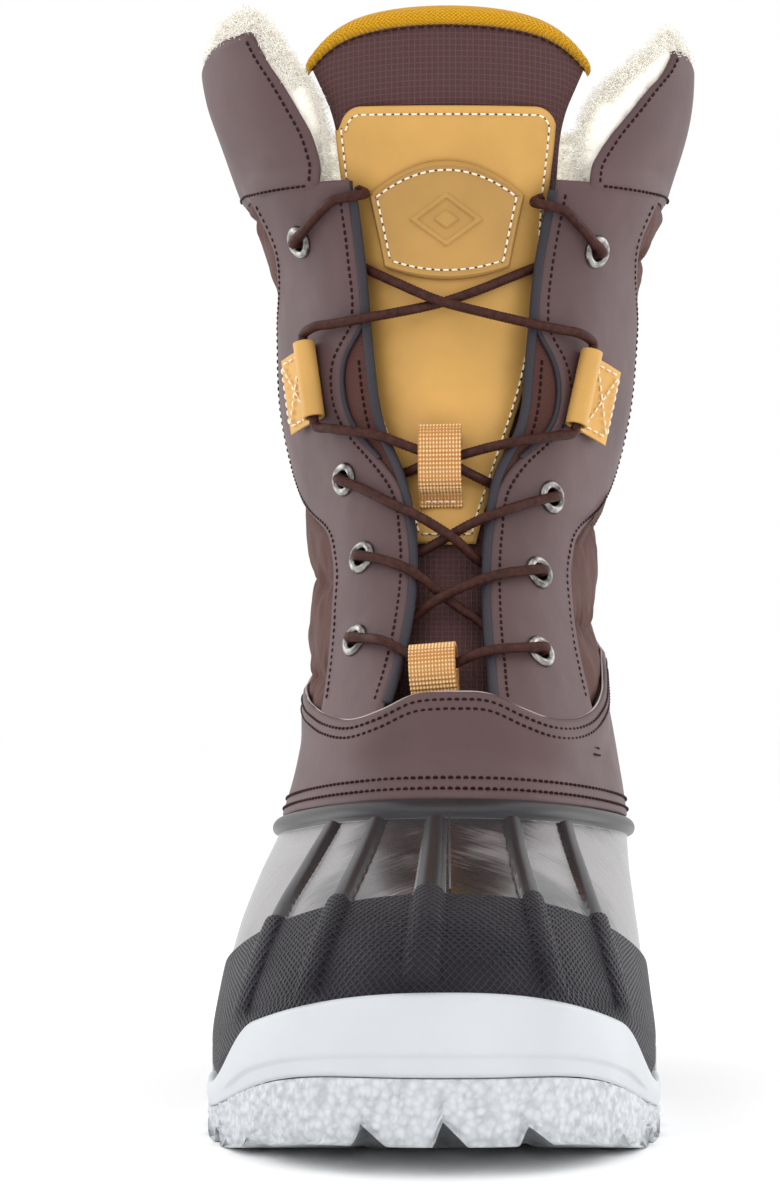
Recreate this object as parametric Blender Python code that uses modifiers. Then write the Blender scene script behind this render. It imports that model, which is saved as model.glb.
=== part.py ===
"""Insulated pac boot, right foot: rubber shell, leather and quilted upper, fleece lining, lacing.

Lengths in this script are millimetres until a mesh is made. +Z is up, the toe points to -Y, and +X is the
inner side of the foot. The whole boot follows one form: a stack of tilted rings. A place on the form is
(u, v, d): u runs once round (0 at the front, 0.25 at +X, 0.5 at the back), v runs up, d is out of the form.
"""

import math

import bmesh
import bpy
import numpy as np
from mathutils import Matrix, Vector

MM = 0.001
CENTRE_X = 0.1
CENTRE_Y = -2.7

# The form's rings: height station, front (y, z), back (y, z), side z, bend of the side line, half-width
# towards -X and +X, width of the rear half as a share of the front half, squareness.
RINGS = np.array((
    (-0.30, -150, 29, 146, 20, 13, 2.4, 61.0, 53.5, 0.63, 2.5),
    (0.00, -156, 46, 150, 36, 18, 1.9, 66.5, 58.5, 0.62, 2.5),
    (0.25, -151, 58, 153, 52, 33, 1.8, 65.0, 57.5, 0.64, 2.4),
    (0.50, -133, 68, 152, 68, 49, 1.5, 61.5, 56.0, 0.68, 2.3),
    (0.75, -98, 77, 150, 84, 63, 1.3, 56.5, 55.0, 0.75, 2.2),
    (1.00, -55, 88, 147, 98, 77, 1.3, 50.5, 54.5, 0.84, 2.15),
    (1.30, -28, 115, 144, 119, 104, 1.2, 43.5, 50.0, 0.90, 2.1),
    (1.60, -8, 141, 141, 145, 136, 1.1, 41.0, 44.5, 0.95, 2.1),
    (1.90, 7, 170, 140, 173, 168, 1.0, 41.8, 45.5, 1.00, 2.1),
    (2.20, 15, 202, 142, 203, 201, 1.0, 48.5, 53.0, 1.00, 2.1),
    (2.50, 18, 240, 146, 240, 239, 1.0, 51.5, 57.5, 1.00, 2.1),
    (2.75, 16, 267, 149, 266, 266, 1.0, 64.5, 68.5, 0.92, 2.1),
    (3.00, 12, 292, 151, 288, 290, 1.0, 76.0, 77.5, 0.80, 2.1),
    (3.30, 6, 322, 153, 304, 314, 1.0, 80.0, 78.5, 0.76, 2.1),
))

# Layers of the upper: outer d and thickness.
SHELL = (0.0, 3.0)
PANEL = (0.0, 2.2)
BATTING = (-3.4, 1.0)
LINING = (-5.9, 4.0)
FOOT_LINING = (-4.8, 4.0)
EYESTAY = (2.4, 1.5)
EYESTAY_LINING = (0.1, 1.6)
FLEECE_CUFF = (-2.7, 5.1)
FLAP = (0.0, 2.0)
FACING = (-5.6, 1.4)
LABEL = (-3.5, 1.6)
TONGUE = (-7.4, 6.6)
GUSSET = (-4.0, 0.9)

SOLE_PROUD = 2.4
LACE_DIAMETER = 2.6
EYELET_RADIUS = 5.0
EYELET_BORE = 2.3
EYELET_BARREL = 3.0
EYELET_HOLE = 3.35

# Eyelets: name, x, z.
EYELETS = (
    ("left_eyelet_1", -24.7, 131.0),
    ("left_eyelet_2", -23.0, 155.0),
    ("left_eyelet_3", -28.3, 178.5),
    ("left_eyelet_4", -42.0, 250.0),
    ("right_eyelet_1", 24.7, 127.5),
    ("right_eyelet_2", 24.5, 150.5),
    ("right_eyelet_3", 28.3, 173.0),
    ("right_eyelet_4", 42.0, 246.5),
)

# Edges as (z, distance from the middle), or as (u, v) where the names say so.
EYESTAY_INNER = {
    -1: ((105, 21.5), (109, 20.0), (122, 15.5), (138, 11.6), (161, 11.0), (178, 14.4), (193, 20.8),
         (216, 25.0), (241, 27.7), (267, 30.0)),
    1: ((105, 15.5), (109, 13.7), (122, 12.0), (138, 10.9), (161, 11.5), (178, 14.1), (193, 20.8),
        (216, 23.7), (241, 26.2), (267, 31.2)),
}
LEATHER_INNER = {
    -1: ((105, 21.5), (109, 20.0), (122, 15.5), (138, 11.6), (161, 11.0), (175, 14.0), (184, 20.6), (189, 25.0),
         (193, 28.0), (198, 30.6), (204, 32.2), (210, 32.6), (215, 31.6), (219.5, 29.2), (223, 27.2), (228, 26.6),
         (241, 27.7), (267, 30.0)),
    1: ((105, 15.5), (109, 13.7), (122, 12.0), (138, 10.9), (161, 11.5), (175, 13.9), (184, 20.0), (188, 24.0),
        (192, 27.6), (196, 29.8), (201, 31.0), (206, 31.2), (211, 30.4), (215, 28.9), (219, 26.7), (223, 25.1),
        (228, 24.9), (241, 26.2), (267, 31.2)),
}
EYESTAY_OUTER_U = ((105, 0.146), (140, 0.140), (156, 0.141), (165, 0.156), (172, 0.200), (182, 0.238),
                   (205, 0.246), (226, 0.238), (238, 0.205), (248, 0.184), (267, 0.182))
SADDLE_TOP_V = {
    -1: ((0.0, 1.295), (0.03, 1.287), (0.06, 1.252), (0.09, 1.235), (0.13, 1.265), (0.16, 1.31),
         (0.20, 1.37), (0.25, 1.42), (0.36, 1.44)),
    1: ((0.0, 1.295), (0.03, 1.292), (0.06, 1.255), (0.085, 1.235), (0.13, 1.265), (0.17, 1.36), (0.20, 1.46),
        (0.25, 1.52), (0.36, 1.53)),
}
SADDLE_REACH = 0.36
BACKSTAY_U = ((1.0, 0.325), (1.4, 0.345), (1.7, 0.385), (2.0, 0.43), (2.4, 0.455), (2.8, 0.46))
FLAP_INNER = {
    -1: ((264, 38.8), (272, 40.0), (280, 42.0), (287, 45.5), (295, 49.8), (303, 54.5), (311, 58.0)),
    1: ((262, 39.2), (270, 42.0), (279, 47.4), (288, 54.6), (295, 60.0), (300, 64.0), (306, 67.0)),
}
CUFF_INNER = {
    -1: ((264, 42.5), (273, 42.0), (281, 41.6), (287, 42.2), (293, 45.0), (301, 50.4), (308, 54.5), (316, 61.0)),
    1: ((264, 42.5), (272, 41.6), (281, 43.2), (287, 45.4), (293, 50.0), (300, 57.5), (308, 65.5), (314, 70.0)),
}
TONGUE_HALF = ((98, 20.0), (110, 22.0), (130, 24.0), (165, 27.0), (200, 33.0), (240, 37.0), (265, 36.5),
               (280, 37.5), (290, 40.5), (300, 45.0), (310, 48.5), (320, 50.0))
FACING_HALF = ((160, 10.0), (168, 12.5), (185, 19.0), (210, 27.5), (235, 31.8), (262, 33.2), (275, 34.4),
               (290, 35.5))
TONGUE_FOLD_Z = 286.8
TONGUE_ARCH = 300.0
TONGUE_ARCH_RISE = 14.0
BINDING_HEIGHT = 4.6
FLAP_V = 2.745
FLAP_REAR_U = 0.245
COLLAR_U = 0.258


def slopes_of(stations, values):
    """The slope at each station, from the stations on both sides of it."""
    return np.gradient(values, stations, axis=0)


def hermite(stations, values, slopes, x):
    """A smooth curve through the values at the stations."""
    x = np.clip(x, stations[0], stations[-1])
    low = np.clip(np.searchsorted(stations, x, side="right") - 1, 0, len(stations) - 2)
    span = stations[low + 1] - stations[low]
    t = (x - stations[low]) / span
    if values.ndim == 2:
        t = t[..., None]
        span = span[..., None]
    start = (2 * t**3 - 3 * t**2 + 1) * values[low] + (t**3 - 2 * t**2 + t) * span * slopes[low]
    end = (3 * t**2 - 2 * t**3) * values[low + 1] + (t**3 - t**2) * span * slopes[low + 1]
    return start + end


def along(table, x):
    """The smooth curve through a table of (x, value) pairs."""
    table = np.array(table, float)
    return hermite(table[:, 0], table[:, 1], slopes_of(table[:, 0], table[:, 1]), np.asarray(x, float))


RING_SLOPES = slopes_of(RINGS[:, 0], RINGS[:, 1:])
LOWEST_V = RINGS[0, 0]
HIGHEST_V = RINGS[-1, 0]


def eased(x):
    x = np.clip(x, 0.0, 1.0)
    return x * x * (3 - 2 * x)


def form(u, v):
    """The point of the form at (u, v), as an array with x, y, z last."""
    u, v = np.broadcast_arrays(np.asarray(u, float), np.asarray(v, float))
    row = hermite(RINGS[:, 0], RINGS[:, 1:], RING_SLOPES, v)
    front_y, front_z, back_y, back_z, side_z, bend, left, right, heel, square = np.moveaxis(row, -1, 0)
    cosine = np.cos(2 * np.pi * u)
    sine = np.sin(2 * np.pi * u)
    t = -np.sign(cosine) * np.abs(cosine) ** (2 / square)
    width = np.sign(sine) * np.abs(sine) ** (2 / square)
    half = np.where(sine > 0, right, left) * (1 - (1 - heel) * eased((t + 0.55) / 1.1))
    end_z = np.where(t < 0, front_z, back_z)
    x = half * width
    y = (front_y + back_y) / 2 + (back_y - front_y) / 2 * t
    z = side_z + (end_z - side_z) * np.abs(t) ** bend
    return np.stack((x - CENTRE_X, y - CENTRE_Y, z), axis=-1)


def normal(u, v):
    """The outward normal of the form at (u, v)."""
    step_u = 0.002
    step_v = 0.01
    low = np.clip(np.asarray(v, float) - step_v, LOWEST_V, HIGHEST_V)
    high = np.clip(np.asarray(v, float) + step_v, LOWEST_V, HIGHEST_V)
    across = np.cross(form(u + step_u, v) - form(u - step_u, v), form(u, high) - form(u, low))
    return across / np.linalg.norm(across, axis=-1, keepdims=True)


def place(u, v, d=0.0):
    """The point d outside the form at (u, v)."""
    u, v, d = np.broadcast_arrays(np.asarray(u, float), np.asarray(v, float), np.asarray(d, float))
    return form(u, v) + normal(u, v) * d[..., None]


def u_at(v, x):
    """The u in the front half of the ring at v whose point is x from the middle."""
    v, x = np.broadcast_arrays(np.asarray(v, float), np.asarray(x, float))
    side = np.where(x < 0, -1.0, 1.0)
    low = np.zeros(x.shape)
    high = np.full(x.shape, 0.25)
    for _ in range(26):
        middle = (low + high) / 2
        inside = np.abs(form(side * middle, v)[..., 0] + CENTRE_X) < np.abs(x)
        low = np.where(inside, middle, low)
        high = np.where(inside, high, middle)
    return side * (low + high) / 2


def front_spot(x, z, lowest=0.9):
    """The (u, v) on the boot's front that is x from the middle and z up."""
    x, z = np.broadcast_arrays(np.asarray(x, float), np.asarray(z, float))
    low = np.full(x.shape, lowest)
    high = np.full(x.shape, HIGHEST_V)
    for _ in range(26):
        middle = (low + high) / 2
        below = form(u_at(middle, x), middle)[..., 2] < z
        low = np.where(below, middle, low)
        high = np.where(below, high, middle)
    v = (low + high) / 2
    return u_at(v, x), v


def front_place(x, z, d):
    u, v = front_spot(x, z)
    return place(u, v, d)


# Scene, materials and objects.


def clear_scene():
    for old in list(bpy.data.objects):
        bpy.data.objects.remove(old, do_unlink=True)


def collection(name):
    made = bpy.data.collections.new(name)
    bpy.context.scene.collection.children.link(made)
    return made


def principled(name, colour, roughness, metallic=0.0):
    material = bpy.data.materials.new(name)
    material.use_nodes = True
    shader = material.node_tree.nodes["Principled BSDF"]
    shader.inputs["Base Color"].default_value = (*colour, 1.0)
    shader.inputs["Roughness"].default_value = roughness
    shader.inputs["Metallic"].default_value = metallic
    material.diffuse_color = (*colour, 1.0)
    return material


def new_object(name, data, material, group):
    made = bpy.data.objects.new(name, data)
    made.data.materials.append(material)
    group.objects.link(made)
    return made


def to_mesh(name, shape, material, group):
    """Makes the object of a bmesh whose points are in millimetres."""
    bmesh.ops.remove_doubles(shape, verts=shape.verts, dist=0.01)
    bmesh.ops.dissolve_degenerate(shape, edges=shape.edges, dist=0.001)
    bmesh.ops.scale(shape, vec=(MM, MM, MM), verts=shape.verts)
    mesh = bpy.data.meshes.new(name)
    shape.to_mesh(mesh)
    shape.free()
    made = new_object(name, mesh, material, group)
    mesh.shade_smooth()
    mesh.set_sharp_from_angle(angle=math.radians(40))
    return made


def skin(shape, rows, closed=False, flip=False):
    """Joins rows of points with quads, and gives back the rows of vertices."""
    lines = [[shape.verts.new(point) for point in row] for row in rows]
    columns = len(lines[0])
    last = columns if closed else columns - 1
    for low, high in zip(lines, lines[1:]):
        for here in range(last):
            there = (here + 1) % columns
            quad = (low[here], low[there], high[there], high[here])
            shape.faces.new(quad[::-1] if flip else quad)
    return lines


def lens(shape, ring, up):
    """Closes a ring of vertices with strips from side to side. The ring starts at the front."""
    count = len(ring)
    for here in range(count // 2):
        corners = [ring[here], ring[here + 1], ring[(count - here - 1) % count], ring[(count - here) % count]]
        corners = list(dict.fromkeys(corners))
        shape.faces.new(corners if up else corners[::-1])


def thicken(made, thickness):
    modifier = made.modifiers.new("thickness", "SOLIDIFY")
    modifier.thickness = thickness * MM
    modifier.offset = -1.0
    modifier.use_even_offset = True
    return made


def sheet(name, rows, thickness, material, group, flip=False, closed=False):
    """A panel: an open surface through rows of points, thickened inwards."""
    shape = bmesh.new()
    skin(shape, rows, closed, flip)
    return thicken(to_mesh(name, shape, material, group), thickness)


def tub(name, rows, thickness, material, group):
    """A shell: rings from the floor up, closed at the floor, thickened inwards."""
    shape = bmesh.new()
    lines = skin(shape, rows, closed=True)
    lens(shape, lines[0], up=False)
    return thicken(to_mesh(name, shape, material, group), thickness)


def stack(name, rows, material, group):
    """A solid through rings, closed at both ends. The rings run up the outside."""
    shape = bmesh.new()
    lines = skin(shape, rows, closed=True)
    lens(shape, lines[0], up=False)
    lens(shape, lines[-1], up=True)
    return to_mesh(name, shape, material, group)


def turned(name, profile, steps, material, group, matrix):
    """A profile of (radius, height) points turned round the local Z axis."""
    shape = bmesh.new()
    points = [shape.verts.new((radius * MM, 0, height * MM)) for radius, height in profile]
    for here, there in zip(points, points[1:] + points[:1]):
        shape.edges.new((here, there))
    mesh = bpy.data.meshes.new(name)
    shape.to_mesh(mesh)
    shape.free()
    made = new_object(name, mesh, material, group)
    screw = made.modifiers.new("turn", "SCREW")
    screw.steps = steps
    screw.render_steps = steps
    screw.use_merge_vertices = True
    screw.merge_threshold = 0.00001
    screw.use_smooth_shade = True
    made.matrix_world = matrix
    return made


def cut_outline(name, outlines, half_length, material, group, matrix):
    """A flat outline with holes, given half its length each way along its local Z axis."""
    curve = bpy.data.curves.new(name, "CURVE")
    curve.dimensions = "2D"
    curve.fill_mode = "BOTH"
    curve.extrude = half_length * MM
    for outline in outlines:
        spline = curve.splines.new("POLY")
        spline.points.add(len(outline) - 1)
        for point, (x, y) in zip(spline.points, outline):
            point.co = (x * MM, y * MM, 0, 1)
        spline.use_cyclic_u = True
    made = new_object(name, curve, material, group)
    made.matrix_world = matrix
    return made


def frame_matrix(origin, along_x, out):
    """A matrix in metres with its Z axis along out and its X axis near along_x."""
    z_axis = Vector(out).normalized()
    x_axis = Vector(along_x)
    x_axis = (x_axis - z_axis * x_axis.dot(z_axis)).normalized()
    y_axis = z_axis.cross(x_axis)
    matrix = Matrix((x_axis, y_axis, z_axis)).transposed().to_4x4()
    matrix.translation = Vector(origin) * MM
    return matrix


def circle(radius, centre, count, first=0.0, last=360.0, closed=True):
    """Points round a circle from one angle to another, in degrees."""
    steps = count if closed else count - 1
    angles = [math.radians(first + (last - first) * step / steps) for step in range(count)]
    return [(centre[0] + radius * math.cos(a), centre[1] + radius * math.sin(a)) for a in angles]


# Sole and shell.


def ring_u(count):
    return np.arange(count) / count


def sole_outline(u, grow):
    """The sole's plan outline, grow outside the shell's foot line, with the foot line's height."""
    line = form(u, 0.0)
    step = 0.002
    run = form(u + step, 0.0) - form(u - step, 0.0)
    side = np.stack((run[..., 1], -run[..., 0], np.zeros(np.shape(u))), axis=-1)
    return line + side / np.linalg.norm(side, axis=-1, keepdims=True) * grow


def at_height(ring, z):
    ring = ring.copy()
    ring[..., 2] = z
    return ring


def toe_rise(ring, start, rise):
    """A height that eases up from start (a y in mm) to the toe."""
    return eased((start - ring[..., 1]) / (start + 156.0)) * rise


def parting_height(ring):
    return 8.0 + toe_rise(ring, -70.0, 16.5)


def tread_height(ring):
    return toe_rise(ring, -92.0, 7.5)


def make_outsole(materials, parts, cutters):
    u = ring_u(48)
    wall = sole_outline(u, SOLE_PROUD)
    inner = sole_outline(u, SOLE_PROUD - 1.5)
    rows = [
        at_height(inner, tread_height(inner)),
        at_height(wall, tread_height(wall) + 1.5),
        at_height(wall, parting_height(wall) - 0.2),
    ]
    outsole = stack("outsole", rows, materials["sole"], parts)
    groove = bmesh.new()
    for y, depth in ((-118, 6.0), (-98, 4.5), (-78, 4.0), (-58, 4.0), (-38, 4.0), (78, 4.5), (98, 4.5), (118, 4.5)):
        for side in (-1, 1):
            turn = Matrix.Rotation(math.radians(-14 * side), 4, "Z")
            floor = max(0.0, (-95 - y) * 0.1)
            move = Matrix.Translation((side * 39, y - CENTRE_Y, floor + depth / 2 - 4))
            bmesh.ops.create_cube(groove, size=1.0, matrix=move @ turn @ Matrix.Diagonal((62, 6, depth + 8, 1)))
    arch = Matrix.Translation((0, 30, -2)) @ Matrix.Diagonal((160, 62, 11, 1))
    bmesh.ops.create_cube(groove, size=1.0, matrix=arch)
    for x in (-28, -2, 22):
        notch = Matrix.Translation((x, -158, 6)) @ Matrix.Rotation(math.radians(45), 4, "Y")
        bmesh.ops.create_cube(groove, size=1.0, matrix=notch @ Matrix.Diagonal((7, 26, 7, 1)))
    cutter = to_mesh("tread_cutter", groove, materials["sole"], cutters)
    modifier = outsole.modifiers.new("tread", "BOOLEAN")
    modifier.operation = "DIFFERENCE"
    modifier.solver = "EXACT"
    modifier.use_self = True
    modifier.object = cutter


def make_midsole(materials, parts):
    u = ring_u(48)
    wall = sole_outline(u, SOLE_PROUD)
    waist = sole_outline(u, SOLE_PROUD - 0.8)
    top = sole_outline(u, SOLE_PROUD - 0.4)
    lip = sole_outline(u, 1.3)
    floor = place(u, LOWEST_V, 1.8)
    parting = parting_height(wall) + 0.2
    line = wall[..., 2]
    rows = [
        at_height(wall, parting),
        at_height(waist, parting * 0.55 + line * 0.45),
        at_height(wall, parting * 0.25 + line * 0.75),
        at_height(top, line - 0.2),
        at_height(lip, line - 0.2),
        at_height(floor, form(u, LOWEST_V)[..., 2] - 1.1),
    ]
    stack("midsole", rows, materials["sole"], parts)


def rib_columns():
    """(u at the rim, u at the foot line, height out) for the lines that run up the shell."""
    lines = []
    ribs = ((-0.094, -0.135), (-0.053, -0.075), (-0.008, -0.01), (0.045, 0.06), (0.091, 0.125))
    half_rim = 0.010
    half_foot = 0.0125
    for rim, foot in ribs:
        for place_on, height in ((-1.0, 0.0), (-0.4, 1.3), (0.4, 1.3), (1.0, 0.0)):
            lines.append((rim + place_on * half_rim, foot + place_on * half_foot, height))
    for side in (-1, 1):
        for rim, foot in ((0.125, 0.165), (0.16, 0.20), (0.20, 0.235), (0.245, 0.27), (0.29, 0.31),
                          (0.335, 0.35), (0.385, 0.39), (0.43, 0.432), (0.468, 0.468)):
            lines.append((side * rim, side * foot, 0.0))
    lines.append((0.5, 0.5, 0.0))
    return sorted(lines)


def make_shell(materials, parts):
    columns = np.array(rib_columns())
    around = columns[:-1, 1]
    even = np.append((around - around[::-1]) / 2, 0.5)
    stations = (-0.30, -0.08, 0.0, 0.14, 0.30, 0.48, 0.66, 0.84, 0.93, 0.96, 1.0)
    rows = [place(even, LOWEST_V)]
    for v in stations[1:]:
        share = min(max(v, 0.0), 1.0)
        u = columns[:, 1] + (columns[:, 0] - columns[:, 1]) * share
        swell = columns[:, 2] if 0.0 < v < 0.94 else np.zeros(len(columns))
        bead = 1.5 if v > 0.95 else 0.0
        rows.append(place(u, v, swell + bead))
    shape = bmesh.new()
    lines = skin(shape, rows, closed=True)
    lens(shape, lines[0][-1:] + lines[0][:-1], up=False)
    return thicken(to_mesh("rubber_shell", shape, materials["rubber"], parts), SHELL[1])


def slab(name, d, low, high, inset, materials, key, parts):
    """A flat layer of the foot bed: low and high are heights above the form's floor."""
    u = ring_u(36)
    ring = place(u, LOWEST_V, d)
    floor = form(u, LOWEST_V)[..., 2]
    inner = ring.copy()
    inner[..., 0] *= inset
    inner[..., 1] *= inset
    rows = [at_height(inner, floor + low), at_height(ring, floor + (low + high) / 2), at_height(inner, floor + high)]
    return stack(name, rows, materials[key], parts)


def make_foot_layers(materials, parts):
    u = ring_u(24)
    outline = np.stack((9.0 * np.sin(2 * np.pi * u), 25.0 - 55.0 * np.cos(2 * np.pi * u)), axis=-1)
    base = np.interp(outline[:, 1], (-60, 0, 60, 120), (17.4, 17.2, 17.6, 19.5))
    rows = [np.column_stack((outline, base + lift)) for lift in (0.0, 1.0)]
    stack("steel_shank", rows, materials["steel"], parts)
    slab("insole_board", -6.0, 6.4, 8.0, 0.99, materials, "board", parts)
    slab("footbed", -11.0, 13.4, 17.6, 0.98, materials, "footbed", parts)


def make_foot_lining(materials, parts):
    u = ring_u(36)
    floor = place(u, LOWEST_V, -5.6)
    floor[..., 2] = form(u, LOWEST_V)[..., 2] + 8.6
    rows = [floor]
    for v in (0.22, 0.38, 0.56, 0.74, 0.9, 1.05, 1.19):
        rows.append(place(u, v, FOOT_LINING[0]))
    tub("fleece_foot_lining", rows, FOOT_LINING[1], materials["fleece"], parts)


# The upper. Each panel is a patch between four edges; side is -1 or 1.


def patch(u_low, u_high, v_low, v_high, columns, rows):
    """The (u, v) grid between two edges u(v) and two edges v(u)."""
    s, t = np.meshgrid(np.linspace(0, 1, columns), np.linspace(0, 1, rows))
    middle = 0.5 * (u_low(np.array(2.0)) + u_high(np.array(2.0)))
    u = np.full(s.shape, float(middle))
    v = v_low(u) + (v_high(u) - v_low(u)) * t
    for _ in range(12):
        u = u_low(v) + (u_high(v) - u_low(v)) * s
        v = v_low(u) + (v_high(u) - v_low(u)) * t
    return u, v


def front_patch(x_low, x_high, z_low, z_high, columns, rows):
    """The (u, v) grid on the front between two edges x(z) and two edges z(x)."""
    s, t = np.meshgrid(np.linspace(0, 1, columns), np.linspace(0, 1, rows))
    x = np.zeros(s.shape)
    z = z_low(x) + (z_high(x) - z_low(x)) * t
    for _ in range(12):
        x = x_low(z) + (x_high(z) - x_low(z)) * s
        z = z_low(x) + (z_high(x) - z_low(x)) * t
    return front_spot(x, z)


def height_at(v):
    """The height of the form's front corner at v, which the edge tables are given at."""
    return form(0.12, v)[..., 2]


def x_edge(table, shift=0.0):
    """An edge u(v) that keeps a distance from the middle which a table gives by height."""
    return lambda v: u_at(v, along(table, height_at(v)) + shift)


def u_edge(table, shift=0.0):
    return lambda v: along(table, height_at(v)) + shift


def fixed(value):
    return lambda other: np.full(np.shape(other), float(value))


def saddle_top(side, lift=0.0):
    return lambda u: along(SADDLE_TOP_V[side], np.minimum(np.abs(u), SADDLE_REACH)) + lift


def sided_sheet(name, grid, layer, side, material, parts):
    """A panel on one side: the grid is made with u growing from the front, then mirrored for -1."""
    u, v = grid
    return sheet(name, place(side * u, v, layer[0]), layer[1], material, parts, flip=side < 0)


def make_saddle(materials, parts):
    rows = []
    for t in np.linspace(0, 1, 4):
        reach = float(along(BACKSTAY_U, 1.025 + 0.45 * t)) - 0.006
        columns = np.linspace(-reach, reach, 30)
        top = np.where(columns < 0, saddle_top(-1)(columns), saddle_top(1)(columns))
        rows.append(place(columns, 1.025 + (top - 1.025) * t, PANEL[0]))
    sheet("vamp_saddle", rows, PANEL[1], materials["leather"], parts)


def make_backstay(materials, parts):
    rows = []
    for v in np.linspace(1.025, 2.72, 15):
        edge = float(along(BACKSTAY_U, v))
        rows.append(place(np.linspace(edge, 1 - edge, 9), v, PANEL[0]))
    sheet("heel_backstay", rows, PANEL[1], materials["leather"], parts)
    rows = []
    for v in np.linspace(1.24, 1.66, 5):
        edge = float(along(BACKSTAY_U, v)) + 0.015
        rows.append(place(np.linspace(edge, 1 - edge, 9), v, BATTING[0] - 0.4))
    sheet("heel_counter", rows, 1.2, materials["board"], parts)


def quarter_front(side, shift):
    """The quarter's front edge runs under the eyestay's outer edge."""
    return u_edge(EYESTAY_OUTER_U, shift)


def make_quarter(side, name, materials, parts):
    back = lambda v: along(BACKSTAY_U, v) - 0.006
    grid = patch(quarter_front(side, -0.012), back, saddle_top(side, 0.035), fixed(2.72), 10, 12)
    sided_sheet(name + "_quilted_quarter", grid, PANEL, side, materials["quilted"], parts)
    inner_back = lambda v: along(BACKSTAY_U, v) - 0.03
    grid = patch(quarter_front(side, 0.012), inner_back, saddle_top(side, 0.12), fixed(2.66), 10, 10)
    sided_sheet(name + "_quarter_batting", grid, BATTING, side, materials["batting"], parts)


def make_eyestay(side, name, materials, parts, hole_cutter):
    outer = u_edge(EYESTAY_OUTER_U)
    grid = patch(x_edge(LEATHER_INNER[side]), outer, saddle_top(side, 0.03), fixed(2.735), 8, 26)
    eyestay = sided_sheet(name + "_eyestay", grid, EYESTAY, side, materials["leather"], parts)
    lining_outer = lambda v: np.minimum(along(EYESTAY_OUTER_U, height_at(v)), 0.152) - 0.026
    grid = patch(x_edge(EYESTAY_INNER[side]), lining_outer, saddle_top(side, 0.03), fixed(2.735), 7, 16)
    lining = sided_sheet(name + "_eyestay_lining", grid, EYESTAY_LINING, side, materials["foam"], parts)
    for made in (eyestay, lining):
        modifier = made.modifiers.new("eyelet_holes", "BOOLEAN")
        modifier.operation = "DIFFERENCE"
        modifier.solver = "EXACT"
        modifier.object = hole_cutter


def make_gusset(side, name, materials, parts):
    inner = x_edge(TONGUE_HALF, 4.4)
    outer = x_edge(TONGUE_HALF, 9.4)
    grid = patch(inner, outer, fixed(1.34), fixed(2.42), 3, 14)
    sided_sheet(name + "_tongue_gusset", grid, GUSSET, side, materials["quilted"], parts)


def make_shaft_lining(materials, parts):
    rows = []
    for v in np.linspace(1.23, 2.72, 12):
        half = float(along(TONGUE_HALF, height_at(v))) + 3.0
        rows.append(place(np.linspace(float(u_at(v, half)), 1 + float(u_at(v, -half)), 27), v, LINING[0]))
    sheet("fleece_shaft_lining", rows, LINING[1], materials["fleece"], parts)


def flap_top(side):
    """The top edge of a collar flap, v by u."""
    if side < 0:
        return lambda u: along(((0.10, 3.19), (0.14, 3.20), (0.20, 3.15), (0.25, 3.07)), u)
    return lambda u: along(((0.10, 3.12), (0.14, 3.15), (0.18, 3.17), (0.21, 3.14), (0.25, 3.07)), u)


def make_flap(side, name, materials, parts):
    grid = patch(x_edge(FLAP_INNER[side]), fixed(FLAP_REAR_U), fixed(FLAP_V + 0.012), flap_top(side), 9, 9)
    sided_sheet(name + "_collar_flap", grid, FLAP, side, materials["leather"], parts)
    top = flap_top(side)
    grid = patch(x_edge(CUFF_INNER[side]), fixed(FLAP_REAR_U), fixed(FLAP_V + 0.012), lambda u: top(u) + 0.05, 10, 9)
    sided_sheet(name + "_fleece_cuff", grid, FLEECE_CUFF, side, materials["fleece"], parts)


def make_back_collar(materials, parts):
    u = np.linspace(COLLAR_U, 1 - COLLAR_U, 21)
    top = 3.02 - 0.10 * eased((0.5 - np.abs(u - 0.5)) * 4 - 1)
    rows = [place(u, 2.745 + (top - 2.745) * t, PANEL[0]) for t in np.linspace(0, 1, 4)]
    sheet("back_collar", rows, PANEL[1], materials["leather"], parts)
    rows = [place(u, 2.745 + (top + 0.04 - 2.745) * t, -2.8) for t in np.linspace(0, 1, 4)]
    sheet("back_fleece_cuff", rows, 5.4, materials["fleece"], parts)


# The tongue.


def tongue_edge(side, shift=0.0):
    return lambda z: side * (along(TONGUE_HALF, z) + shift)


def tongue_arch(x):
    share = np.abs(x) / 45.5
    return TONGUE_ARCH + TONGUE_ARCH_RISE * (1 - 0.4 * share**2 - 0.6 * share**6)


def make_tongue(materials, parts):
    grid = front_patch(tongue_edge(-1), tongue_edge(1), fixed(109.5), fixed(TONGUE_FOLD_Z - 0.3), 9, 13)
    sheet("tongue", place(*grid, TONGUE[0]), TONGUE[1], materials["ripstop"], parts)
    top = lambda x: tongue_arch(x) - BINDING_HEIGHT - 0.8
    grid = front_patch(tongue_edge(-1), tongue_edge(1), fixed(TONGUE_FOLD_Z + 0.3), top, 15, 5)
    sheet("tongue_top", place(*grid, TONGUE[0]), TONGUE[1], materials["ripstop"], parts)
    low = lambda x: tongue_arch(x) - BINDING_HEIGHT
    high = lambda x: tongue_arch(x)
    grid = front_patch(tongue_edge(-1, 0.3), tongue_edge(1, 0.3), low, high, 15, 3)
    sheet("tongue_binding", place(*grid, TONGUE[0] + 0.5), TONGUE[1] + 1.0, materials["binding"], parts)


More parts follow.
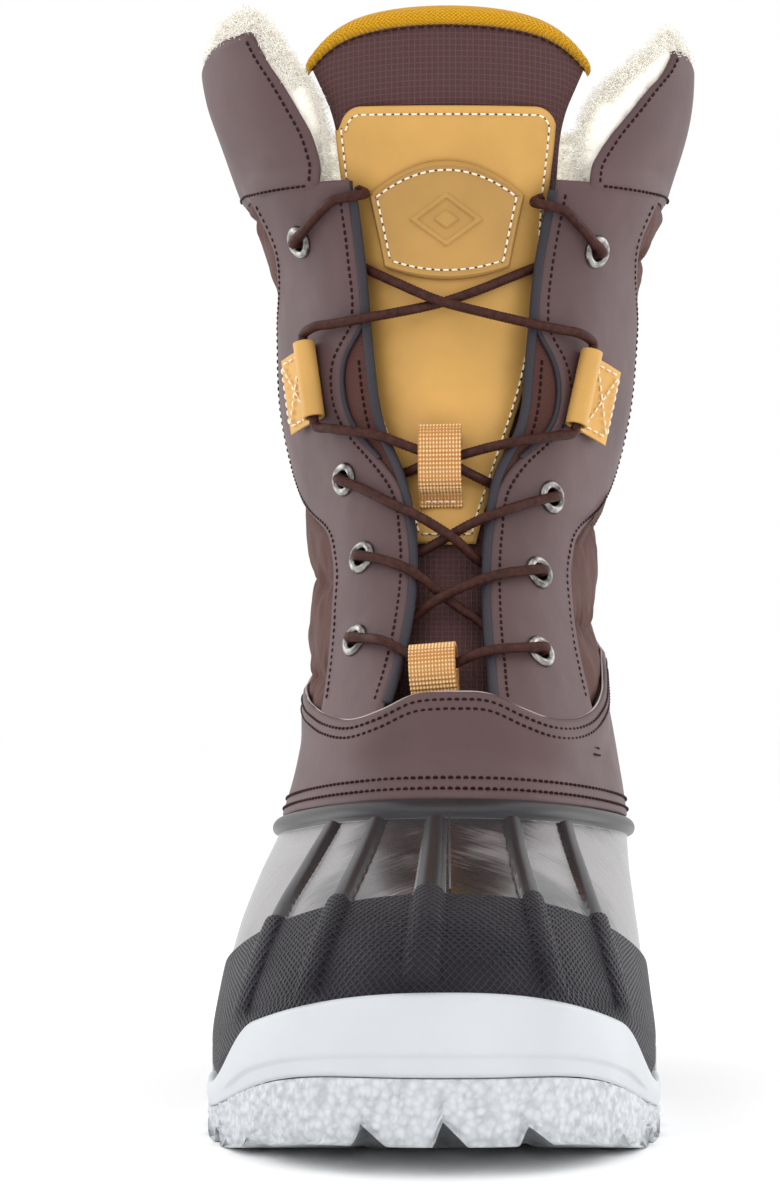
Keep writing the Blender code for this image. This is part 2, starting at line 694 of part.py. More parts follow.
def make_facing(materials, parts):
    corner = lambda x: TONGUE_FOLD_Z - 0.4 - 4.5 * eased((np.abs(x) - 24) / 9)
    left = lambda z: -1.0 - along(FACING_HALF, z)
    right = lambda z: along(FACING_HALF, z) - 1.0
    grid = front_patch(left, right, fixed(162.0), corner, 9, 12)
    sheet("tongue_facing", place(*grid, FACING[0]), FACING[1], materials["tan"], parts)
    low = lambda x: 237.0 + 3.2 * (np.abs(x + 0.5) / 18.5) ** 2
    high = lambda x: 271.0 - 8.0 * (np.abs(x + 0.5) / 22.0) ** 2
    left = lambda z: -0.5 - np.interp(z, (237, 263), (19.1, 24.6))
    right = lambda z: -0.5 + np.interp(z, (237, 263), (19.1, 24.6))
    grid = front_patch(left, right, low, high, 9, 7)
    sheet("tongue_label", place(*grid, LABEL[0]), LABEL[1], materials["tan"], parts)


def keeper_outline(height, depth, low, high, hole_depth):
    """Side view of a folded webbing keeper: (height up, depth out), with the hole for the lace."""
    outer = [(0, 0), (height, 0), (height, depth * 0.75), (height - 2, depth), (low - 1, depth), (0, 1.6)]
    hole = [(low, 1.1), (high, 1.1), (high, hole_depth), (low, hole_depth)]
    return [outer, hole]


def make_keeper(name, x, z, d, width, outline, materials, parts):
    """The keeper's outline lies in a plane across the lace; its local Z axis is +X."""
    origin = front_place(x, z, d)
    up = front_place(x, z + 12.0, d) - origin
    out = Vector(normal(*front_spot(x, z + 8.0)))
    x_axis = Vector(up).normalized()
    y_axis = (out - x_axis * out.dot(x_axis)).normalized()
    matrix = Matrix((x_axis, y_axis, x_axis.cross(y_axis))).transposed().to_4x4()
    matrix.translation = Vector(origin) * MM
    cut_outline(name, outline, width / 2, materials["webbing"], parts, matrix)


def make_keepers(materials, parts):
    make_keeper("upper_lace_keeper", -2.3, 173.3, -4.8, 12.4,
                keeper_outline(22.0, 8.8, 4.5, 19.5, 7.7), materials, parts)
    make_keeper("lower_lace_keeper", -4.1, 117.0, -6.7, 13.2,
                keeper_outline(17.0, 11.2, 6.5, 15.6, 10.0), materials, parts)


# Hardware and lacing.


def eyelet_matrix(x, z):
    u, v = front_spot(x, z)
    return frame_matrix(place(u, v, 0.0), (1, 0, 0), normal(u, v))


def make_eyelets(materials, parts, cutters):
    """Eyelets, and one cutter with all their holes."""
    top = EYESTAY[0] + 0.3
    bottom = EYESTAY_LINING[0] - EYESTAY_LINING[1]
    profile = ((EYELET_BORE + 0.5, top + 0.9), (EYELET_RADIUS - 0.7, top + 0.7), (EYELET_RADIUS, top + 0.1),
               (EYELET_BARREL, top), (EYELET_BARREL, bottom), (EYELET_BORE, bottom), (EYELET_BORE, top + 0.3))
    holes = bmesh.new()
    for name, x, z in EYELETS:
        matrix = eyelet_matrix(x, z)
        turned(name, profile, 14, materials["metal"], parts, matrix)
        scaled = matrix.copy()
        scaled.translation = matrix.translation / MM
        bmesh.ops.create_cone(holes, cap_ends=True, segments=14, radius1=EYELET_HOLE, radius2=EYELET_HOLE,
                              depth=12.0, matrix=scaled)
    return to_mesh("eyelet_hole_cutter", holes, materials["metal"], cutters)


def make_lace_loop(side, name, low, high, materials, parts):
    """A strap folded into a tube for the lace, with its tail stitched down towards the side."""
    bottom = front_place(*low, EYESTAY[0] + 0.4)
    top = front_place(*high, EYESTAY[0] + 0.4)
    u, v = front_spot((low[0] + high[0]) / 2, (low[1] + high[1]) / 2)
    run = Vector(top - bottom).normalized()
    out = Vector(normal(u, v))
    out = (out - run * out.dot(run)).normalized()
    inward = run.cross(out) if side < 0 else out.cross(run)
    matrix = Matrix((inward, out, inward.cross(out))).transposed().to_4x4()
    matrix.translation = Vector((bottom + top) / 2) * MM
    radius = 3.6
    outline = [(-12.0, 0.0), (0.0, 0.0)]
    outline += circle(radius, (0, radius), 9, -70, 200, closed=False)
    outline += [(-3.6, 1.7), (-12.0, 1.7)]
    half = (Vector(top) - Vector(bottom)).length / 2
    hole = circle(2.5, (0, radius), 10)
    cut_outline(name + "_lace_loop", [outline, hole], half, materials["tan"], parts, matrix)


# The lace's route: x, z, d. Each strand starts behind its lowest eyelet and ends behind the eyestay's top.
LOOP_D = EYESTAY[0] + 0.4 + 3.6
LEFT_STRAND = (
    (-24.7, 131.0, 5.0), (-24.7, 131.0, 1.0), (-24.7, 131.0, -2.6), (-23.6, 132.4, -4.3),
    (-14.0, 138.5, -3.7), (-8.5, 141.2, -2.2), (-4.0, 143.0, 0.0), (6.0, 146.6, 3.0), (12.0, 148.4, 4.4),
    (18.5, 149.8, 4.8), (24.5, 150.5, 5.1), (24.5, 150.5, 1.0), (24.5, 150.5, -2.6), (22.8, 151.6, -4.3),
    (13.0, 154.6, -3.6), (8.5, 156.2, -2.0), (1.5, 160.2, 2.2), (-7.0, 165.6, 4.2), (-14.0, 169.8, 4.6),
    (-22.0, 175.0, 4.8), (-28.3, 178.5, 5.1), (-28.3, 178.5, 1.0), (-28.3, 178.5, -2.6), (-26.6, 179.4, -4.3),
    (-18.0, 180.8, -3.7), (-12.5, 181.3, -2.8), (-8.5, 182.4, -1.4), (-2.0, 184.2, -1.5), (4.0, 185.6, -0.8),
    (10.0, 187.0, 0.8), (17.0, 188.4, 3.8), (22.0, 189.4, 5.0), (28.0, 190.8, 6.2), (32.4, 192.2, LOOP_D),
    (33.0, 194.7, LOOP_D), (37.6, 215.8, LOOP_D), (38.0, 218.4, LOOP_D), (34.8, 221.0, 6.4),
    (29.6, 222.2, 5.2), (23.4, 223.4, 4.6), (12.0, 226.2, 3.2), (-2.6, 230.4, 1.4), (-14.0, 235.4, -1.2),
    (-23.0, 239.2, -2.9), (-28.0, 241.4, -3.6), (-34.0, 244.6, -3.9), (-40.2, 248.8, -4.3), (-42.0, 250.0, -2.6),
    (-42.0, 250.0, 1.0), (-42.0, 250.0, 5.1), (-38.6, 254.0, 5.0), (-34.2, 258.6, 4.9), (-31.0, 261.0, 5.0),
    (-26.0, 261.6, 3.8), (-24.8, 261.9, -1.6), (-28.0, 262.8, -4.2),
)
RIGHT_STRAND = (
    (24.7, 127.5, 5.0), (24.7, 127.5, 1.0), (24.7, 127.5, -3.1), (23.4, 129.2, -4.5),
    (14.0, 136.0, -3.7), (9.5, 139.6, -3.4), (4.0, 142.6, -3.2), (-2.0, 145.8, -1.4), (-7.0, 148.6, 2.6),
    (-11.0, 150.8, 4.6), (-17.0, 153.4, 4.8), (-23.0, 155.0, 5.1), (-23.0, 155.0, 1.0), (-23.0, 155.0, -2.6),
    (-21.4, 155.8, -4.3), (-13.0, 157.4, -3.6), (-8.5, 158.8, -3.2), (-1.0, 161.8, -1.6), (7.0, 164.8, 2.4),
    (13.0, 167.0, 4.5), (21.0, 170.4, 4.8), (28.3, 173.0, 5.1), (28.3, 173.0, 1.0), (28.3, 173.0, -2.6),
    (26.6, 173.9, -4.3), (18.0, 176.4, -3.7), (12.5, 178.2, -2.8), (6.0, 180.6, -1.2), (-2.0, 184.2, 1.2),
    (-9.0, 186.8, 1.5), (-18.0, 190.4, 4.2), (-23.4, 191.8, 5.2), (-29.0, 193.2, 6.2), (-33.9, 194.8, LOOP_D),
    (-34.3, 197.3, LOOP_D), (-37.3, 218.6, LOOP_D), (-37.5, 221.2, LOOP_D), (-34.6, 223.4, 6.4),
    (-29.4, 224.2, 5.2), (-23.4, 225.2, 4.4), (-14.0, 227.2, 1.2), (-2.6, 230.0, -1.9), (8.0, 233.4, -2.6),
    (19.0, 237.6, -3.2), (27.0, 240.6, -3.6), (34.0, 243.0, -3.9), (40.2, 245.6, -4.3), (42.0, 246.5, -2.6),
    (42.0, 246.5, 1.0), (42.0, 246.5, 5.1), (38.9, 250.2, 5.0), (34.8, 254.9, 4.9), (31.6, 257.8, 5.0),
    (26.8, 259.0, 3.8), (25.8, 259.4, -1.6), (28.8, 260.4, -4.2),
)
BOTTOM_RUN = (
    (-20.0, 130.4, 5.0), (-15.4, 129.0, 5.7), (-11.2, 127.2, 2.6), (-7.0, 125.8, 0.0), (-4.0, 125.4, -1.0),
    (0.0, 125.4, -1.0), (4.5, 126.0, 1.2), (9.0, 126.6, 3.6), (14.0, 127.0, 4.7), (19.5, 127.3, 5.0),
)


def smooth_route(points, spacing):
    """Points about a spacing apart on a smooth curve through the given ones."""
    points = np.array(points, float)
    gaps = np.linalg.norm(np.diff(points, axis=0), axis=1) ** 0.5
    stations = np.concatenate(((0.0,), np.cumsum(gaps)))
    fine = np.linspace(0, stations[-1], 4000)
    curve = hermite(stations, points, slopes_of(stations, points), fine)
    length = np.concatenate(((0.0,), np.cumsum(np.linalg.norm(np.diff(curve, axis=0), axis=1))))
    wanted = np.linspace(0, length[-1], int(length[-1] / spacing) + 1)
    return np.stack([np.interp(wanted, length, curve[:, axis]) for axis in range(3)], axis=-1)


def make_lace(materials, parts):
    route = np.array(LEFT_STRAND[::-1] + BOTTOM_RUN + RIGHT_STRAND)
    places = front_place(route[:, 0], route[:, 1], route[:, 2])
    points = smooth_route(places, 5.6)
    curve = bpy.data.curves.new("lace", "CURVE")
    curve.dimensions = "3D"
    curve.bevel_depth = LACE_DIAMETER / 2 * MM
    curve.bevel_resolution = 2
    curve.use_fill_caps = True
    spline = curve.splines.new("POLY")
    spline.points.add(len(points) - 1)
    for point, (x, y, z) in zip(spline.points, points):
        point.co = (x * MM, y * MM, z * MM, 1)
    new_object("lace", curve, materials["lace"], parts)


def make_materials():
    return {
        "leather": principled("brown_leather", (0.140, 0.092, 0.084), 0.5),
        "tan": principled("tan_leather", (0.62, 0.36, 0.10), 0.45),
        "ripstop": principled("brown_ripstop", (0.098, 0.048, 0.048), 0.7),
        "quilted": principled("quilted_nylon", (0.14, 0.07, 0.058), 0.5),
        "batting": principled("batting", (0.85, 0.85, 0.82), 0.95),
        "fleece": principled("fleece", (0.87, 0.79, 0.64), 0.95),
        "binding": principled("knit_binding", (0.74, 0.35, 0.01), 0.85),
        "webbing": principled("webbing", (0.68, 0.35, 0.10), 0.8),
        "foam": principled("foam_edge", (0.045, 0.042, 0.055), 0.8),
        "lace": principled("lace", (0.068, 0.023, 0.014), 0.6),
        "metal": principled("gunmetal", (0.30, 0.29, 0.28), 0.3, 1.0),
        "steel": principled("steel", (0.55, 0.55, 0.56), 0.3, 1.0),
        "rubber": principled("black_rubber", (0.017, 0.015, 0.021), 0.4),
        "sole": principled("sole_rubber", (0.68, 0.70, 0.73), 0.6),
        "board": principled("insole_board", (0.5, 0.36, 0.2), 0.85),
        "footbed": principled("felt_footbed", (0.5, 0.49, 0.46), 0.95),
    }


def main():
    clear_scene()
    parts = collection("insulated_boot")
    cutters = collection("cutters")
    materials = make_materials()
    make_outsole(materials, parts, cutters)
    make_midsole(materials, parts)
    make_shell(materials, parts)
    make_foot_layers(materials, parts)
    make_foot_lining(materials, parts)
    make_saddle(materials, parts)
    make_backstay(materials, parts)
    make_shaft_lining(materials, parts)
    make_back_collar(materials, parts)
    holes = make_eyelets(materials, parts, cutters)
    for side, name in ((-1, "left"), (1, "right")):
        make_quarter(side, name, materials, parts)
        make_eyestay(side, name, materials, parts, holes)
        make_gusset(side, name, materials, parts)
        make_flap(side, name, materials, parts)
    make_tongue(materials, parts)
    make_facing(materials, parts)
    make_keepers(materials, parts)
    make_lace_loop(-1, "left", (-34.3, 197.3), (-37.3, 218.6), materials, parts)
    make_lace_loop(1, "right", (33.0, 194.7), (37.6, 215.8), materials, parts)
    make_lace(materials, parts)
    for cutter in cutters.objects:
        cutter.hide_render = True
        cutter.display_type = "WIRE"


main()
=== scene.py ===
"""The insulated boot as it looks: fine surfaces over the CAD frame, on the same form as the part.

Lengths are millimetres until a mesh is made. A place on the form is (u, v, d): u runs once round (0 at the
front, 0.25 at +X, 0.5 at the back), v runs up from the foot to the collar, and d is out of the form.
"""

import math

import bpy
import numpy as np
from mathutils import Matrix, Vector, noise


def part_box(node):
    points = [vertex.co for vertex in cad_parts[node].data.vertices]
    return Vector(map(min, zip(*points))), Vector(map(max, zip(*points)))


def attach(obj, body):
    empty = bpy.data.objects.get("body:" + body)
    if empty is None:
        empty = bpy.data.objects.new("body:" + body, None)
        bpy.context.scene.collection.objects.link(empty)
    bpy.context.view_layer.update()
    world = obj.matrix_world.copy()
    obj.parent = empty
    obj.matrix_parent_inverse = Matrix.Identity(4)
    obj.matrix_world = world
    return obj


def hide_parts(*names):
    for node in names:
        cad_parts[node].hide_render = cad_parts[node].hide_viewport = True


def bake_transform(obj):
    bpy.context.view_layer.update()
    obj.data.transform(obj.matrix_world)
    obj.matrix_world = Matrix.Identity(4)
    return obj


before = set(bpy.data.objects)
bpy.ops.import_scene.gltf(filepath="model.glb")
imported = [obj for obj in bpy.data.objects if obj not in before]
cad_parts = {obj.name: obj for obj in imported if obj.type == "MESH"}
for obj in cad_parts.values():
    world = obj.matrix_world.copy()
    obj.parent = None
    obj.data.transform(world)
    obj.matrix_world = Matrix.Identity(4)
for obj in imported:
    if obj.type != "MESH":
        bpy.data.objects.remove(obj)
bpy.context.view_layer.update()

MM = 0.001
CENTRE_X = 0.1
CENTRE_Y = -2.7

# The form's rings: height station, front (y, z), back (y, z), side z, bend of the side line, half-width
# towards -X and +X, width of the rear half as a share of the front half, squareness.
RINGS = np.array((
    (-0.30, -150, 29, 146, 20, 13, 2.4, 61.0, 53.5, 0.63, 2.5),
    (0.00, -156, 46, 150, 36, 18, 1.9, 66.5, 58.5, 0.62, 2.5),
    (0.25, -151, 58, 153, 52, 33, 1.8, 65.0, 57.5, 0.64, 2.4),
    (0.50, -133, 68, 152, 68, 49, 1.5, 61.5, 56.0, 0.68, 2.3),
    (0.75, -98, 77, 150, 84, 63, 1.3, 56.5, 55.0, 0.75, 2.2),
    (1.00, -55, 88, 147, 98, 77, 1.3, 50.5, 54.5, 0.84, 2.15),
    (1.30, -28, 115, 144, 119, 104, 1.2, 43.5, 50.0, 0.90, 2.1),
    (1.60, -8, 141, 141, 145, 136, 1.1, 41.0, 44.5, 0.95, 2.1),
    (1.90, 7, 170, 140, 173, 168, 1.0, 41.8, 45.5, 1.00, 2.1),
    (2.20, 15, 202, 142, 203, 201, 1.0, 48.5, 53.0, 1.00, 2.1),
    (2.50, 18, 240, 146, 240, 239, 1.0, 51.5, 57.5, 1.00, 2.1),
    (2.75, 16, 267, 149, 266, 266, 1.0, 64.5, 68.5, 0.92, 2.1),
    (3.00, 12, 292, 151, 288, 290, 1.0, 76.0, 77.5, 0.80, 2.1),
    (3.30, 6, 322, 153, 304, 314, 1.0, 80.0, 78.5, 0.76, 2.1),
))

# Layers of the upper: outer d and thickness.
EYESTAY = (2.4, 1.5)
EYESTAY_LINING = (0.1, 1.6)
FACING = (-5.6, 1.4)
LABEL = (-3.5, 1.6)
TONGUE = (-7.4, 6.6)

SOLE_PROUD = 2.4
LACE_DIAMETER = 2.6

# Eyelets: name, x, z.
EYELETS = (
    ("left_eyelet_1", -24.7, 131.0),
    ("left_eyelet_2", -23.0, 155.0),
    ("left_eyelet_3", -28.3, 178.5),
    ("left_eyelet_4", -42.0, 250.0),
    ("right_eyelet_1", 24.7, 127.5),
    ("right_eyelet_2", 24.5, 150.5),
    ("right_eyelet_3", 28.3, 173.0),
    ("right_eyelet_4", 42.0, 246.5),
)

# Edges as tables: the distance from the middle by z, except EYESTAY_OUTER_U (u by z), SADDLE_TOP_V (v by u)
# and BACKSTAY_U (u by v).
EYESTAY_INNER = {
    -1: ((105, 21.5), (109, 20.0), (122, 15.5), (138, 11.6), (161, 11.0), (178, 14.4), (193, 20.8),
         (216, 25.0), (241, 27.7), (267, 30.0)),
    1: ((105, 15.5), (109, 13.7), (122, 12.0), (138, 10.9), (161, 11.5), (178, 14.1), (193, 20.8),
        (216, 23.7), (241, 26.2), (267, 31.2)),
}
LEATHER_INNER = {
    -1: ((105, 21.5), (109, 20.0), (122, 15.5), (138, 11.6), (161, 11.0), (175, 14.0), (184, 20.6),
         (189, 25.0), (193, 28.0), (198, 30.6), (204, 32.2), (210, 32.6), (215, 31.6), (219.5, 29.2),
         (223, 27.2), (228, 26.6), (241, 27.7), (267, 30.0)),
    1: ((105, 15.5), (109, 13.7), (122, 12.0), (138, 10.9), (161, 11.5), (175, 13.9), (184, 20.0),
        (188, 24.0), (192, 27.6), (196, 29.8), (201, 31.0), (206, 31.2), (211, 30.4), (215, 28.9),
        (219, 26.7), (223, 25.1), (228, 24.9), (241, 26.2), (267, 31.2)),
}
EYESTAY_OUTER_U = ((105, 0.146), (140, 0.140), (156, 0.141), (165, 0.156), (172, 0.200), (182, 0.238),
                   (205, 0.246), (226, 0.238), (238, 0.205), (248, 0.184), (267, 0.182))
SADDLE_TOP_V = {
    -1: ((0.0, 1.295), (0.03, 1.287), (0.06, 1.252), (0.09, 1.235), (0.13, 1.265), (0.16, 1.31),
         (0.20, 1.37), (0.25, 1.42), (0.36, 1.44)),
    1: ((0.0, 1.295), (0.03, 1.292), (0.06, 1.255), (0.085, 1.235), (0.13, 1.265), (0.17, 1.36), (0.20, 1.46),
        (0.25, 1.52), (0.36, 1.53)),
}
SADDLE_REACH = 0.36
UPPER_FOOT_V = 1.012
UPPER_TOP_V = 2.745
SEAM_TOP_V = 2.715
BACKSTAY_U = ((1.0, 0.325), (1.4, 0.345), (1.7, 0.385), (2.0, 0.43), (2.4, 0.455), (2.8, 0.46))
FLAP_INNER = {
    -1: ((264, 38.8), (272, 40.0), (280, 42.0), (287, 45.5), (295, 49.8), (303, 54.5), (311, 58.0)),
    1: ((262, 39.2), (270, 42.0), (279, 47.4), (288, 54.6), (295, 60.0), (300, 64.0), (306, 67.0)),
}
CUFF_INNER = {
    -1: ((264, 42.5), (273, 42.0), (281, 41.6), (287, 42.2), (293, 45.0), (301, 50.4), (308, 54.5),
         (316, 61.0)),
    1: ((264, 42.5), (272, 41.6), (281, 43.2), (287, 45.4), (293, 50.0), (300, 57.5), (308, 65.5),
        (314, 70.0)),
}
TONGUE_HALF = ((98, 20.0), (110, 22.0), (130, 24.0), (165, 27.0), (200, 33.0), (240, 37.0), (265, 36.5),
               (280, 37.5), (290, 40.5), (300, 45.0), (310, 48.5), (320, 50.0))
FACING_HALF = ((160, 10.0), (168, 12.5), (185, 19.0), (210, 27.5), (235, 31.8), (262, 33.2), (275, 34.4),
               (290, 35.5))
TONGUE_FOLD_Z = 286.8
TONGUE_ARCH = 300.0
TONGUE_ARCH_RISE = 14.0
FLAP_REAR_U = 0.245
COLLAR_U = 0.258


def slopes_of(stations, values):
    """The slope at each station, from the stations on both sides of it."""
    return np.gradient(values, stations, axis=0)


def hermite(stations, values, slopes, x):
    """A smooth curve through the values at the stations."""
    x = np.clip(x, stations[0], stations[-1])
    low = np.clip(np.searchsorted(stations, x, side="right") - 1, 0, len(stations) - 2)
    span = stations[low + 1] - stations[low]
    t = (x - stations[low]) / span
    if values.ndim == 2:
        t = t[..., None]
        span = span[..., None]
    start = (2 * t**3 - 3 * t**2 + 1) * values[low] + (t**3 - 2 * t**2 + t) * span * slopes[low]
    end = (3 * t**2 - 2 * t**3) * values[low + 1] + (t**3 - t**2) * span * slopes[low + 1]
    return start + end


def along(table, x):
    """The smooth curve through a table of (x, value) pairs."""
    table = np.array(table, float)
    return hermite(table[:, 0], table[:, 1], slopes_of(table[:, 0], table[:, 1]), np.asarray(x, float))


RING_SLOPES = slopes_of(RINGS[:, 0], RINGS[:, 1:])
LOWEST_V = RINGS[0, 0]
HIGHEST_V = RINGS[-1, 0]


def eased(x):
    x = np.clip(x, 0.0, 1.0)
    return x * x * (3 - 2 * x)


def form(u, v):
    """The point of the form at (u, v), as an array with x, y, z last."""
    u, v = np.broadcast_arrays(np.asarray(u, float), np.asarray(v, float))
    row = hermite(RINGS[:, 0], RINGS[:, 1:], RING_SLOPES, v)
    front_y, front_z, back_y, back_z, side_z, bend, left, right, heel, square = np.moveaxis(row, -1, 0)
    cosine = np.cos(2 * np.pi * u)
    sine = np.sin(2 * np.pi * u)
    t = -np.sign(cosine) * np.abs(cosine) ** (2 / square)
    width = np.sign(sine) * np.abs(sine) ** (2 / square)
    half = np.where(sine > 0, right, left) * (1 - (1 - heel) * eased((t + 0.55) / 1.1))
    end_z = np.where(t < 0, front_z, back_z)
    x = half * width
    y = (front_y + back_y) / 2 + (back_y - front_y) / 2 * t
    z = side_z + (end_z - side_z) * np.abs(t) ** bend
    return np.stack((x - CENTRE_X, y - CENTRE_Y, z), axis=-1)


def normal(u, v):
    """The outward normal of the form at (u, v)."""
    step_u = 0.002
    step_v = 0.01
    low = np.clip(np.asarray(v, float) - step_v, LOWEST_V, HIGHEST_V)
    high = np.clip(np.asarray(v, float) + step_v, LOWEST_V, HIGHEST_V)
    across = np.cross(form(u + step_u, v) - form(u - step_u, v), form(u, high) - form(u, low))
    return across / np.linalg.norm(across, axis=-1, keepdims=True)


def place(u, v, d=0.0):
    """The point d outside the form at (u, v)."""
    u, v, d = np.broadcast_arrays(np.asarray(u, float), np.asarray(v, float), np.asarray(d, float))
    return form(u, v) + normal(u, v) * d[..., None]


def u_at(v, x):
    """The u in the front half of the ring at v whose point is x from the middle."""
    v, x = np.broadcast_arrays(np.asarray(v, float), np.asarray(x, float))
    side = np.where(x < 0, -1.0, 1.0)
    low = np.zeros(x.shape)
    high = np.full(x.shape, 0.25)
    for _ in range(26):
        middle = (low + high) / 2
        inside = np.abs(form(side * middle, v)[..., 0] + CENTRE_X) < np.abs(x)
        low = np.where(inside, middle, low)
        high = np.where(inside, high, middle)
    return side * (low + high) / 2


def front_spot(x, z, lowest=0.9):
    """The (u, v) on the boot's front that is x from the middle and z up."""
    x, z = np.broadcast_arrays(np.asarray(x, float), np.asarray(z, float))
    low = np.full(x.shape, lowest)
    high = np.full(x.shape, HIGHEST_V)
    for _ in range(26):
        middle = (low + high) / 2
        below = form(u_at(middle, x), middle)[..., 2] < z
        low = np.where(below, middle, low)
        high = np.where(below, high, middle)
    v = (low + high) / 2
    return u_at(v, x), v


def front_place(x, z, d):
    u, v = front_spot(x, z)
    return place(u, v, d)


def patch(u_low, u_high, v_low, v_high, columns, rows):
    """The (u, v) grid between two edges u(v) and two edges v(u)."""
    s, t = np.meshgrid(np.linspace(0, 1, columns), np.linspace(0, 1, rows))
    middle = 0.5 * (u_low(np.array(2.0)) + u_high(np.array(2.0)))
    u = np.full(s.shape, float(middle))
    v = v_low(u) + (v_high(u) - v_low(u)) * t
    for _ in range(12):
        u = u_low(v) + (u_high(v) - u_low(v)) * s
        v = v_low(u) + (v_high(u) - v_low(u)) * t
    return u, v


def front_patch(x_low, x_high, z_low, z_high, columns, rows):
    """The (u, v) grid on the front between two edges x(z) and two edges z(x)."""
    s, t = np.meshgrid(np.linspace(0, 1, columns), np.linspace(0, 1, rows))
    x = np.zeros(s.shape)
    z = z_low(x) + (z_high(x) - z_low(x)) * t
    for _ in range(12):
        x = x_low(z) + (x_high(z) - x_low(z)) * s
        z = z_low(x) + (z_high(x) - z_low(x)) * t
    return front_spot(x, z)


def height_at(v):
    """The height of the form's front corner at v, which the edge tables are given at."""
    return form(0.12, v)[..., 2]


def x_edge(table, shift=0.0):
    """An edge u(v) that keeps a distance from the middle which a table gives by height."""
    return lambda v: u_at(v, along(table, height_at(v)) + shift)


def u_edge(table, shift=0.0):
    return lambda v: along(table, height_at(v)) + shift


def fixed(value):
    return lambda other: np.full(np.shape(other), float(value))


def saddle_top(side, lift=0.0):
    return lambda u: along(SADDLE_TOP_V[side], np.minimum(np.abs(u), SADDLE_REACH)) + lift


def tongue_edge(side, shift=0.0):
    return lambda z: side * (along(TONGUE_HALF, z) + shift)


def tongue_arch(x):
    share = np.abs(x) / 45.5
    return TONGUE_ARCH + TONGUE_ARCH_RISE * (1 - 0.4 * share**2 - 0.6 * share**6)


def flap_top(side):
    """The top edge of a collar flap, v by u."""
    if side < 0:
        return lambda u: along(((0.10, 3.19), (0.14, 3.20), (0.20, 3.15), (0.25, 3.07)), u)
    return lambda u: along(((0.10, 3.12), (0.14, 3.15), (0.18, 3.17), (0.21, 3.14), (0.25, 3.07)), u)


def sole_outline(u, grow):
    """The sole's plan outline, grow outside the shell's foot line, with the foot line's height."""
    line = form(u, 0.0)
    step = 0.002
    run = form(u + step, 0.0) - form(u - step, 0.0)
    side = np.stack((run[..., 1], -run[..., 0], np.zeros(np.shape(u))), axis=-1)
    return line + side / np.linalg.norm(side, axis=-1, keepdims=True) * grow


def at_height(ring, z):
    ring = ring.copy()
    ring[..., 2] = z
    return ring


def toe_rise(ring, start, rise):
    """A height that eases up from start (a y in mm) to the toe."""
    return eased((start - ring[..., 1]) / (start + 156.0)) * rise


def parting_height(ring):
    return 8.0 + toe_rise(ring, -70.0, 16.5)


def tread_height(ring):
    return toe_rise(ring, -92.0, 7.5)


# The lace's route: x, z, d. Each strand starts behind its lowest eyelet and ends behind the eyestay's top.
LOOP_D = EYESTAY[0] + 0.4 + 3.6
LEFT_STRAND = (
    (-24.7, 131.0, 5.0), (-24.7, 131.0, 1.0), (-24.7, 131.0, -2.6), (-23.6, 132.4, -4.3),
    (-14.0, 138.5, -3.7), (-8.5, 141.2, -2.2), (-4.0, 143.0, 0.0), (6.0, 146.6, 3.0), (12.0, 148.4, 4.4),
    (18.5, 149.8, 4.8), (24.5, 150.5, 5.1), (24.5, 150.5, 1.0), (24.5, 150.5, -2.6), (22.8, 151.6, -4.3),
    (13.0, 154.6, -3.6), (8.5, 156.2, -2.0), (1.5, 160.2, 2.2), (-7.0, 165.6, 4.2), (-14.0, 169.8, 4.6),
    (-22.0, 175.0, 4.8), (-28.3, 178.5, 5.1), (-28.3, 178.5, 1.0), (-28.3, 178.5, -2.6), (-26.6, 179.4, -4.3),
    (-18.0, 180.8, -3.7), (-12.5, 181.3, -2.8), (-8.5, 182.4, -1.4), (-2.0, 184.2, -1.5), (4.0, 185.6, -0.8),
    (10.0, 187.0, 0.8), (17.0, 188.4, 3.8), (22.0, 189.4, 5.0), (28.0, 190.8, 6.2), (32.4, 192.2, LOOP_D),
    (33.0, 194.7, LOOP_D), (37.6, 215.8, LOOP_D), (38.0, 218.4, LOOP_D), (34.8, 221.0, 6.4),
    (29.6, 222.2, 5.2), (23.4, 223.4, 4.6), (12.0, 226.2, 3.2), (-2.6, 230.4, 1.4), (-14.0, 235.4, -1.2),
    (-23.0, 239.2, -2.9), (-28.0, 241.4, -3.6), (-34.0, 244.6, -3.9), (-40.2, 248.8, -4.3),
    (-42.0, 250.0, -2.6), (-42.0, 250.0, 1.0), (-42.0, 250.0, 5.1), (-38.6, 254.0, 5.0),
    (-34.2, 258.6, 4.9), (-31.0, 261.0, 5.0),
    (-26.0, 261.6, 3.8), (-24.8, 261.9, -1.6), (-28.0, 262.8, -4.2),
)
